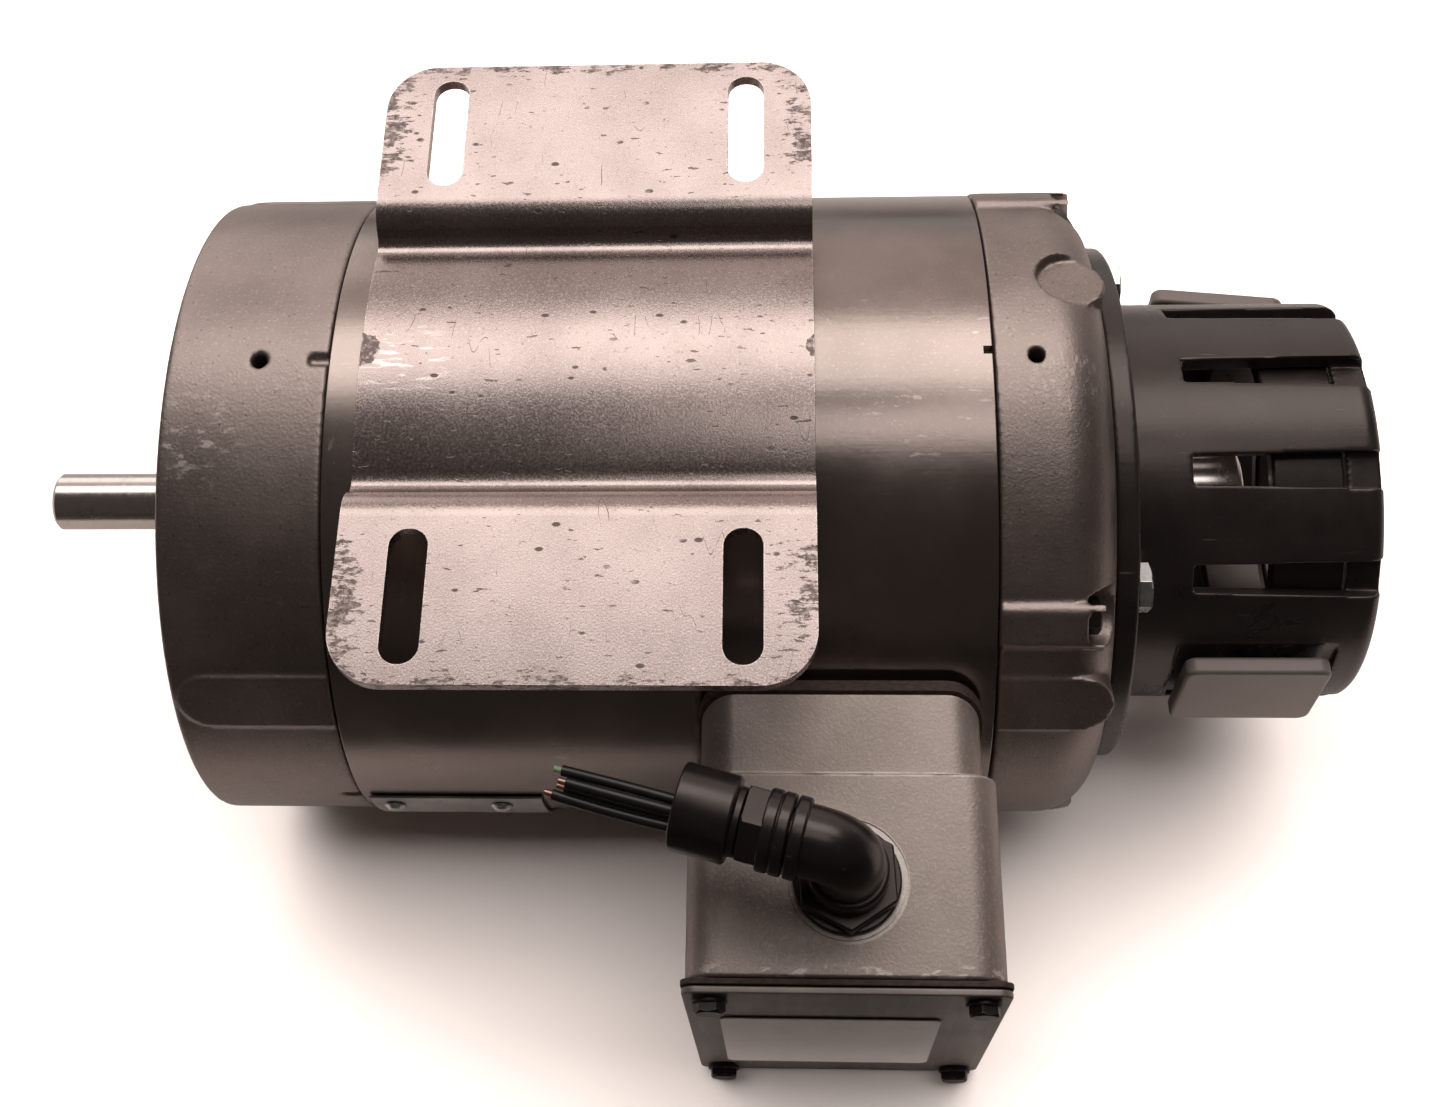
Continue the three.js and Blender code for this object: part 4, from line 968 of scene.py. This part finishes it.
def shaft():
    bar = turned([
        (REAR_SHAFT_END, 0, 0), (REAR_SHAFT_END, REAR_SHAFT_RADIUS, 0.8), (-118, REAR_SHAFT_RADIUS),
        (-118, 8.3), (-105, 8.3), (-105, 11.5), (-80, 11.5), (-80, 13), (60, 13), (60, 15), (83.7, 15),
        (83.7, 12.3), (DRIVE_BEARING_FRONT, 12.3), (DRIVE_BEARING_FRONT, SHAFT_RADIUS),
        (SHAFT_END - 1, SHAFT_RADIUS, 0.1), (SHAFT_END, SHAFT_RADIUS - 1, 0.2),
        (SHAFT_END, 2.6, 0.1), (SHAFT_END - 3, 0, 0),
    ], 96, 0.2)
    keyway = block(SHAFT_END - 38, SHAFT_END + 1, -2.5, 2.5, 5.5, 12)
    return moved(cut(bar, keyway), ON_SHAFT)


def shaft_key():
    return softened(block(SHAFT_END - 37.5, SHAFT_END - 2, -2.2, 2.2, 5.8, 10.2), 0.25, 2)


def shaft_slinger():
    return turned([
        (FACE_X + 1.4, 8.3), (FACE_X + 1.4, 13), (FACE_X + 2.4, 13.6), (FACE_X + 3, 11), (FACE_X + 6, 11),
        (FACE_X + 6, 8.3),
    ], 96, 0.3)


place(shaft(), "shaft")
place(moved(shaft_key(), ON_SHAFT), "shaft_key")
place(moved(shaft_slinger(), ON_SHAFT), "shaft_slinger")


# ---------------------------------------------------------------- rear guard

def finger_gap(angle):
    """The space between two fingers: open through the wall, and cut down to the rim at the tip."""
    turn = round_shaft(angle)
    gap = raised([(SLOT_START, -3.7), (GUARD_RIM_FRONT, -4.6), (GUARD_RIM_FRONT, 4.6), (SLOT_START, 3.7)],
                 -60, -40)
    mouth = block(GUARD_TIP - 5, GUARD_RIM_FRONT + 1, -4.7, 4.7, -60, -GUARD_RIM_RADIUS)
    return moved(gap, turn), moved(mouth, turn)


def tab_ears(pivot_x):
    ears = []
    for y0, y1 in ((-EAR_OUTSIDE, -EAR_INSIDE), (EAR_INSIDE, EAR_OUTSIDE)):
        outline = [(pivot_x - EAR_RADIUS, -49.4), (pivot_x + EAR_RADIUS, -49.4)]
        outline += [(pivot_x + EAR_RADIUS * math.cos(a), -TAB_PIVOT_RADIUS - EAR_RADIUS * math.sin(a))
                    for a in (math.pi * i / 12 for i in range(13))]
        ears.append(along_y(outline, y0, y1))
    return ears


def rear_guard():
    shell = turned([
        (GUARD_DISC_FRONT, 17), (GUARD_DISC_FRONT, GUARD_DISC_RADIUS, 0.8),
        (GUARD_DISC_REAR, GUARD_DISC_RADIUS, 1.0), (GUARD_DISC_REAR, GUARD_RADIUS, 2.4),
        (GUARD_TIP, GUARD_RADIUS, 3.6), (GUARD_TIP, 44), (GUARD_RIM_FRONT, 44),
        (GUARD_RIM_FRONT, GUARD_BORE), (GUARD_DISC_REAR, GUARD_BORE), (GUARD_DISC_REAR, 17),
    ])
    for angle in (FIRST_GAP + FINGER_PITCH * i for i in range(360 // FINGER_PITCH)):
        if all(abs((angle - tab + 180) % 360 - 180) > 12 for tab, _, _ in TABS.values()):
            cut(shell, *finger_gap(angle))
    for angle, pivot_x, _ in TABS.values():
        turn = round_shaft(angle)
        recess = block(pivot_x - TAB_HALF_LENGTH, pivot_x + TAB_HALF_LENGTH, -20, 20, -60, -50.3)
        cut(shell, moved(recess, turn))
        join(shell, *[moved(ear, turn) for ear in tab_ears(pivot_x)])
        pin = at(pivot_x, 0, -TAB_PIVOT_RADIUS) @ spun(QUARTER, "Z")
        cut(shell, moved(block(pivot_x - 3.5, pivot_x + 3.5, -EAR_INSIDE, EAR_INSIDE, -54, -44), turn),
            moved(rod(-12, 12, 1.45), turn @ pin))
    bolt_hole = moved(rod(-140, -120, 3.5), at(0, 0, -GUARD_BOLT_CIRCLE))
    cut(shell, *clocked(bolt_hole, BOLT_CLOCKS))
    return moved(cast(shell, 0.5, 2, 0.6), ON_SHAFT)


def release_tab():
    """A hollow moulded tab about its pin, with the pressed end towards -X."""

    def z(radius):
        return TAB_PIVOT_RADIUS - radius

    plate = softened(raised(rectangle(36.4, 31.4, 3.2), z(57.5), z(52.8)), 1.1, 5, 60)
    hollow = raised(rectangle(33.2, 28.2, 1.8), z(55.5), z(52.8) + 1)
    lug = join(along_y(regular(24, 4.4), -5.2, 5.2), block(-2.2, 2.2, -5.2, 5.2, z(56.5), 0))
    bore = moved(rod(-8, 8, 1.5, 24), spun(QUARTER, "Z"))
    return cut(join(cut(plate, hollow), lug), bore)


def socket_ring():
    return turned([
        (-169, 43.5), (-169, 48.3, 1), (-186.4, 48.3), (-186.4, 43.5), (-185, 42.5), (-170, 42.5),
    ])


def drive_hub():
    """A sleeve on the rear shaft end, with a groove round it."""
    return turned([
        (-146, 6.3), (-146, 14, 1.6), (-151, 14, 0.3), (-152, 13.2, 0.3), (-153, 14, 0.3), (-170, 14, 1.6),
        (-170, 6.3),
    ], 96, 0.3)


place(rear_guard(), "rear_guard", sharp_angle=60)
place(moved(socket_ring(), ON_SHAFT), "socket_ring")
place(moved(drive_hub(), ON_SHAFT), "drive_hub")
for side, (angle, pivot_x, tilt) in TABS.items():
    pivot = clock(angle) @ at(pivot_x, 0, -TAB_PIVOT_RADIUS)
    tilted = pivot @ spun(math.radians(tilt), "Y")
    place(moved(release_tab(), tilted), f"release_tab_{side}")
    pin = disc(-8.4, 8.4, 1.15, 0.25, 24)
    place(moved(pin, pivot @ spun(QUARTER, "Z")), f"tab_pin_{side}")


# ---------------------------------------------------------------- conduit box

def box_prism(width, depth, radius, y0, y1):
    return along_y(rectangle(width, depth, radius, (BOX_X, SHAFT_HEIGHT), 10), y0, y1)


def drum(radius):
    """A cylinder about the shaft, long enough to cut the box and its gasket."""
    return moved(rod(-140, 20, radius, ROUND), ON_SHAFT)


def across(x, z, y0, y1, radius):
    """A cylinder along Y."""
    return moved(rod(y0, y1, radius), at(x, 0, z) @ spun(QUARTER, "Z"))


LID_SCREWS = [(BOX_X + side * (BOX_WIDTH / 2 - LID_SCREW_INSET),
               SHAFT_HEIGHT + end * (BOX_DEPTH / 2 - LID_SCREW_INSET))
              for side, end in ((-1, -1), (1, -1), (1, 1), (-1, 1))]
TO_FITTING_HOLE = at(FITTING.x, FITTING.y) @ spun(-QUARTER, "Y")


def at_lid_screws(y0, y1, radius):
    return [across(x, z, y0, y1, radius) for x, z in LID_SCREWS]


def conduit_box():
    neck = box_prism(NECK_WIDTH, NECK_DEPTH, 8, -55, BOX_SHOULDER_Y - 1)
    outer = softened(join(box_prism(BOX_WIDTH, BOX_DEPTH, 8, BOX_SHOULDER_Y, BOX_RIM_Y), neck), 0.9, 4, 50)
    shell = cut(outer, drum(SADDLE_RADIUS))
    inner = join(
        box_prism(NECK_WIDTH - 6, NECK_DEPTH - 6, 5, -50, BOX_SHOULDER_Y - 4),
        box_prism(BOX_WIDTH - 6, BOX_DEPTH - 6, 5, BOX_SHOULDER_Y - BOX_WALL, BOX_RIM_Y - 1),
    )
    cut(shell, cut(inner, drum(SADDLE_RADIUS + BOX_WALL)))
    join(shell, *at_lid_screws(BOX_RIM_Y, BOX_RIM_Y + 22, 4.4))
    ring = cut(rod(BOX_NEAR_Z - 1, BOX_NEAR_Z + 0.5, KNOCKOUT_RING, FINE),
               rod(BOX_NEAR_Z - 2, BOX_NEAR_Z + 2, KNOCKOUT_RING - 0.7, FINE))
    holes = [moved(rod(30, 48, KNOCKOUT_RADIUS, FINE), TO_FITTING_HOLE), moved(ring, TO_FITTING_HOLE)]
    holes += [across(BOX_X + x, SHAFT_HEIGHT, -95, -80, radius) for x, radius in TOP_HOLES]
    return cut(shell, *holes, *at_lid_screws(BOX_RIM_Y - 1, BOX_RIM_Y + 16, LID_SCREW_HOLE))


def gasket_layer(overhang, inner, outer):
    """One layer of the saddle gasket, between two radii about the shaft."""
    sheet = box_prism(NECK_WIDTH + overhang, NECK_DEPTH + overhang, 8.5, -50, -95)
    cut(sheet, box_prism(NECK_WIDTH - 16, NECK_DEPTH - 20, 4, -49, -96))
    return cut(common(sheet, drum(outer)), drum(inner))


def box_gasket():
    """A thin lip under the box, on a thicker body that stands back from it."""
    lip = gasket_layer(1.4, SADDLE_RADIUS - 2.3, SADDLE_RADIUS - 0.3)
    return join(lip, gasket_layer(-5, BAND_RADIUS + GAP, SADDLE_RADIUS - 2.2))


def lid_sheet(overhang, y0, y1, edge):
    return softened(box_prism(BOX_WIDTH + overhang, BOX_DEPTH + overhang, 3.5, y0, y1), edge, 3, 50)


def lid_gasket():
    sheet = lid_sheet(1.6, BOX_RIM_Y - GAP, LID_BACK_Y + GAP, 0.25)
    window = box_prism(BOX_WIDTH - 20, BOX_DEPTH - 20, 6, BOX_RIM_Y + 1, LID_BACK_Y - 1)
    return cut(sheet, window, *at_lid_screws(-145, -135, LID_SCREW_HOLE))


def box_lid():
    return cut(lid_sheet(1.1, LID_BACK_Y, LID_FRONT_Y, 0.4), *at_lid_screws(-145, -135, LID_SCREW_HOLE))


def box_label():
    outline = rectangle(51, 62, 2.5, (-56.9, SHAFT_HEIGHT + 5.8))
    return softened(along_y(outline, LID_FRONT_Y - GAP, LID_FRONT_Y - 2 * GAP), 0.1, 2)


place(conduit_box(), "conduit_box", sharp_angle=40)
place(box_gasket(), "box_gasket")
place(lid_gasket(), "lid_gasket")
place(box_lid(), "box_lid")
place(box_label(), "box_label")

TOWARDS_BAND = spun(QUARTER, "Z")
lid_screw = hex_screw(1.6, 16, 6.4, 3.2, 4.1)
for i, (x, z) in enumerate(LID_SCREWS):
    turn = TOWARDS_BAND @ spun(0.3 + 0.7 * i)
    place(copied(lid_screw, at(x, LID_FRONT_Y - GAP, z) @ turn), f"lid_screw_{i + 1}")
discard(lid_screw)
box_screw = hex_screw(2, 10, 6.4, 3, 4.3)
for i, offset in enumerate(BOX_SCREWS):
    seat = at(BOX_X + offset, -(SADDLE_RADIUS + BOX_WALL + GAP), SHAFT_HEIGHT)
    place(copied(box_screw, seat @ TOWARDS_BAND), f"box_screw_{i + 1}")
discard(box_screw)


# ---------------------------------------------------------------- right-angle cable fitting

TO_FITTING = Matrix.Translation(FITTING) @ spun(math.radians(FITTING_BEARING), "Z")
STANDING = spun(-QUARTER, "Y")  # takes +X to +Z
LEG_TOP = BOX_NEAR_Z - FITTING.z


def elbow_body():
    """The threaded leg stands along +Z and the arm lies along +X, at height zero."""
    bend = bezier((0, 0, 8), (0, 0, 0), (8, 0, 0), 20)
    bar = swept([(0, 0, LEG_TOP - 4), (0, 0, LEG_TOP - 8), *bend, (11, 0, 0)], 7.9, FINE)
    collar = disc(9.7, 12.8, 9, 0.7, FINE)
    spigot = rod(12, 22, 5.9, FINE)
    leg = moved(turned([(13, 0, 0), (13, 9.2, 0.8), (LEG_TOP - 5, 9.2), (LEG_TOP - 5, 0, 0)], FINE), STANDING)
    hexagon = raised(regular(6, 21.5, 12), LEG_TOP - 5.2, LEG_TOP - 1.4)
    skirt = moved(turned([(LEG_TOP - 1.6, 0, 0), (LEG_TOP - 1.6, 12.2, 0.5), (LEG_TOP - 0.3, 12.2, 0.3),
                          (LEG_TOP - 0.3, 0, 0)], FINE), STANDING)
    screwed_end = moved(rod(LEG_TOP - 1, LEG_TOP + 13, KNOCKOUT_RADIUS - 0.4, FINE), STANDING)
    body = join(bar, collar, spigot, leg, softened(hexagon, 0.5, 3), skirt, screwed_end)
    way = join(moved(rod(1, LEG_TOP + 20, 5), STANDING), rod(-1, 30, 4.6))
    return cut(body, way)


def gland_nut():
    shell = turned([(13.2, 6.2), (13.2, 9, 0.6), (15.6, 9, 0.4), (16, 8.5, 0.2), (16.4, 9, 0.4), (19, 9, 0.7),
                    (19, 6.2)], FINE, 0.3)
    facets = common(softened(along_x(regular(6, 15.8, 18), 18.6, 23.5), 0.3, 2),
                    turned([(18, 0, 0), (18, 9.1, 0), (22.9, 9.1, 0), (23.6, 8.2, 0), (23.6, 0, 0)], FINE))
    return join(shell, cut(facets, rod(17, 25, 6.2, FINE)))


def gland_sleeve():
    return turned([(23.8, 5), (23.8, 7.6), (25.3, 7.7), (25.6, 9.6, 0.8), (38.2, 9.6, 0.7), (38.2, 6.8, 0.5),
                   (28, 6.8), (28, 5)], FINE, 0.3)


def elbow_locknut():
    wall = LEG_TOP + BOX_WALL
    nut = cut(raised(regular(6, 25), wall + GAP, wall + 5), raised(regular(64, 2 * KNOCKOUT_RADIUS), 0, 60))
    return softened(nut, 0.4, 2)


WIRES = [(1, 0, 26.5), (-2, -2.1, 24.4), (-4.8, 0.3, 27), (-2, 2.4, 25.2)]


def cable_wire(across_arm, deep, reach):
    """An insulated wire, its bare end, and the point where one gives way to the other."""
    tip = Vector((38.2 + reach, across_arm * 0.95 - 0.2, deep))
    path = bezier((29, across_arm * 0.9, deep * 0.9), (48, across_arm * 1.15, deep * 1.3), tip)
    onward = (path[-1] - path[-2]).normalized()
    sheath = swept(path, 1.2, 24)
    core = swept([tip - onward * 0.5, tip + onward * 1.8], 0.72, 16)
    return softened(sheath, 0.2, 2), softened(core, 0.15, 2)


place(moved(elbow_body(), TO_FITTING), "elbow_body", material=FITTING_PLASTIC)
place(moved(elbow_locknut(), TO_FITTING), "elbow_locknut")
place(moved(gland_nut(), TO_FITTING), "gland_nut", material=FITTING_PLASTIC)
place(moved(gland_sleeve(), TO_FITTING), "gland_sleeve", material=FITTING_PLASTIC)
for i, wire in enumerate(WIRES):
    sheath, core = cable_wire(*wire)
    node = f"cable_wire_{i + 1}"
    place(moved(sheath, TO_FITTING), node)
    end_material = GREEN_WIRE if i == 0 else COPPER
    place_extra(moved(core, TO_FITTING), node, f"{node}_end", end_material)


# ---------------------------------------------------------------- nameplate

PLATE_X = 16
PLATE_LENGTH = 45
PLATE_CLOCK = -89
PLATE_SWEEP = 36
PLATE_SHEET = 0.8


def nameplate():
    """A thin blank plate that follows the band."""
    inner, rows, columns = BAND_RADIUS + GAP, 40, 24
    corners, faces = [], []
    for radius in (inner, inner + PLATE_SHEET):
        for i in range(rows + 1):
            angle = math.radians(PLATE_CLOCK - PLATE_SWEEP * i / rows)
            for k in range(columns + 1):
                x = PLATE_X + PLATE_LENGTH * k / columns
                corners.append((x, radius * math.sin(angle), -radius * math.cos(angle)))
    stride = columns + 1
    top = (rows + 1) * stride
    for i in range(rows):
        for k in range(columns):
            here = i * stride + k
            quad = (here, here + 1, here + stride + 1, here + stride)
            faces += [quad, tuple(top + j for j in quad)]
    for i in range(rows):
        for k in (0, columns):
            here = i * stride + k
            faces.append((here, here + stride, top + here + stride, top + here))
    for k in range(columns):
        for i in (0, rows):
            here = i * stride + k
            faces.append((here, here + 1, top + here + 1, top + here))
    return moved(softened(mesh_object(corners, faces), 0.2, 2, 50), ON_SHAFT)


def rivet():
    return turned([(0, 0, 0), (0, 2.9, 0.2), (0.5, 2.8, 0.4), (1.5, 1.6, 0.8), (1.7, 0, 0)], SMALL)


place(nameplate(), "nameplate")
for i, (x, angle) in enumerate((x, angle) for x in (27, 55) for angle in (-93, -121)):
    seat = clock(angle) @ at(x, 0, -BAND_RADIUS - 1.2) @ spun(QUARTER, "Y")
    place(moved(rivet(), seat), f"nameplate_rivet_{i + 1}")


# ---------------------------------------------------------------- studio

# The script's own camera looks up at the feet of a motor that lies on a table, so the table and the window
# are below the feet. A camera above them looks at a motor that stands on a floor, which hides those lights.
SWITCH_HEIGHT = (8 - SHAFT_HEIGHT) * MM - 0.04

CAMERA_PLACE = (-0.20761, -0.21873, -0.48641)
CAMERA_TURN = (-150.734, -3.217, 178.729)
CAMERA_LENS = 47.5
CAMERA_SHIFT = (0.0318, -0.1530)

FLOOR_HEIGHT = -SHAFT_HEIGHT * MM - 0.0003
FLOOR_AWAY = 40
FLOOR_TONE = (0.80, 0.78, 0.76)

TABLE_CLOCK = 13.1
TABLE_TOUCH = TO_ROW @ Vector((-30, -19.0, 171.5))  # on the band
TABLE_AWAY = 60
TABLE_TONE = (0.88, 0.805, 0.77)
TABLE_DARK = (0.02, 0.018, 0.016)
TABLE_MIRRORED = 0.34
SHEET_END = -0.168

WINDOW_CLOCK = 27.5
WINDOW_DISTANCE = 1.2
FAR_WINDOW_LIFT = 0.7  # clears the floor
WINDOW = (1.0, 0.955, 0.93)
ROOM_DARK = (0.055, 0.047, 0.043)
ROOM_BRIGHT = (0.85, 0.76, 0.72)
HORIZON = (0.62, 0.60, 0.59)
ZENITH = (0.95, 0.93, 0.92)
BACKDROP = (0.90, 0.885, 0.875)


def scene_camera():
    data = bpy.data.cameras.new("camera")
    data.sensor_fit = "HORIZONTAL"
    data.sensor_width = 36
    data.lens = CAMERA_LENS
    data.clip_start = 0.01
    data.clip_end = 100
    camera = bpy.data.objects.new("camera", data)
    bpy.context.scene.collection.objects.link(camera)
    camera.location = CAMERA_PLACE
    camera.rotation_mode = "XYZ"
    camera.rotation_euler = [math.radians(angle) for angle in CAMERA_TURN]
    bpy.context.scene.camera = camera
    return camera


def switched(holder, path, index, below, above):
    """One value while the camera is below the feet, and another while it is above. An index of -1 is none."""
    curve = holder.driver_add(path, index) if index >= 0 else holder.driver_add(path)
    for modifier in list(curve.modifiers):
        curve.modifiers.remove(modifier)
    curve.keyframe_points.clear()
    for height, value in ((SWITCH_HEIGHT - 1, below), (SWITCH_HEIGHT, above)):
        curve.keyframe_points.insert(height, value).interpolation = "CONSTANT"
    curve.driver.type = "AVERAGE"
    source = curve.driver.variables.new()
    source.targets[0].id = bpy.context.scene.camera
    source.targets[0].data_path = "location.z"


def plane(name, size, material):
    half = size / 2
    sheet = mesh_object([(-half, -half, 0), (half, -half, 0), (half, half, 0), (-half, half, 0)],
                        [(0, 1, 2, 3)], name)
    sheet.data.materials.append(material)
    return sheet


def pale_sheet(name, light, dark, mirrored=1.0):
    """A plain matt surface that gives way to a dark one on the motor's -Y side, out of the picture.

    Shiny surfaces mirror a share of its light.
    """
    r = Recipe(name)
    row_y = r.node("SeparateXYZ", {0: r.node("NewGeometry").outputs["Position"]}).outputs["Y"]
    seen = r.mixed(r.node("LightPath").outputs["Is Glossy Ray"], light, shade(light, mirrored))
    base = r.mixed(r.step(row_y, SHEET_END, SHEET_END - 0.02), seen, dark)
    return r.finish(base, 0.9, Specular_IOR_Level=0.1)


def floor():
    sheet = plane("floor", 80, pale_sheet("floor_paint", FLOOR_TONE, FLOOR_TONE))
    sheet.location = (-SHAFT_END * MM, 0, FLOOR_HEIGHT)
    switched(sheet, "location", 2, FLOOR_AWAY, FLOOR_HEIGHT)
    return sheet


def table():
    """Touches the band and the lid's corner, on the far side of the motor from the script's own camera."""
    sheet = plane("table", 14, pale_sheet("table_cloth", TABLE_TONE, TABLE_DARK, TABLE_MIRRORED))
    sheet.rotation_euler = (math.pi + math.radians(TABLE_CLOCK), 0, 0)
    sheet.location = TABLE_TOUCH
    switched(sheet, "location", 2, TABLE_TOUCH.z, TABLE_AWAY)
    return sheet


def panel(name, clock_angle, x, distance, length, height, radiance, tone):
    """A rectangular light that faces the shaft from a clock angle. The sizes are in metres."""
    data = bpy.data.lights.new(name, "AREA")
    data.shape = "RECTANGLE"
    data.size = length
    data.size_y = height
    data.energy = radiance * math.pi * length * height
    data.color = tone
    light = bpy.data.objects.new(name, data)
    bpy.context.scene.collection.objects.link(light)
    light.matrix_world = at(x) @ round_shaft(clock_angle) @ at(0, 0, -distance) @ spun(math.pi)
    light.visible_camera = False
    return light


def table_light(sheet, radiance):
    """A second window that brightens the table alone, so the motor's shadow lies as the window throws it."""
    light = panel("table_light", WINDOW_CLOCK - 12, -0.16, WINDOW_DISTANCE, 2.4, 1.2, radiance, WINDOW)
    group = bpy.data.collections.new("table_only")
    group.objects.link(sheet)
    light.light_linking.receiver_collection = group
    return light


def surroundings():
    """Pale where the camera looks past everything. Reflections see a room that is bright towards +Y."""
    world = bpy.data.worlds.new("room")
    bpy.context.scene.world = world
    sky = Graph(world)
    way = sky.node("SeparateXYZ", {0: sky.node("TexCoord").outputs["Generated"]}).outputs
    below = sky.mixed(sky.step(way["Y"], 0.35, 0.95), ROOM_DARK, ROOM_BRIGHT)
    above = sky.mixed(sky.step(way["Z"], 0.0, 0.9), HORIZON, ZENITH)
    mirrored = sky.mixed(sky.step(way["Z"], -0.03, 0.03), below, above)
    seen = sky.mixed(sky.node("LightPath").outputs["Is Camera Ray"], mirrored, BACKDROP)
    background = sky.node("Background", {"Color": seen}).outputs[0]
    sky.node("OutputWorld", {"Surface": background})


camera = scene_camera()
for path, shift in zip(("shift_x", "shift_y"), CAMERA_SHIFT):
    switched(camera.data, path, -1, shift, 0)
floor()
table_light(table(), 5.2)
surroundings()
panel("window", WINDOW_CLOCK, -0.16, WINDOW_DISTANCE, 1.6, 0.576, 3.0, WINDOW)
panel("window_edge", 1.0, -0.38, WINDOW_DISTANCE, 0.45, 0.27, 2.3, WINDOW)
far_window = panel("far_window", 76, 0.75, 1.4, 1.1, 0.7, 1.1, WINDOW)
switched(far_window, "location", 2, far_window.location.z, far_window.location.z + FAR_WINDOW_LIFT)
panel("overhead", 150, -0.3, 1.3, 1.2, 0.8, 1.6, (1.0, 0.98, 0.96))
panel("overhead_left", 215, -0.1, 1.4, 0.9, 0.7, 1.0, (0.96, 0.98, 1.0))

bpy.context.scene.view_settings.view_transform = "Standard"
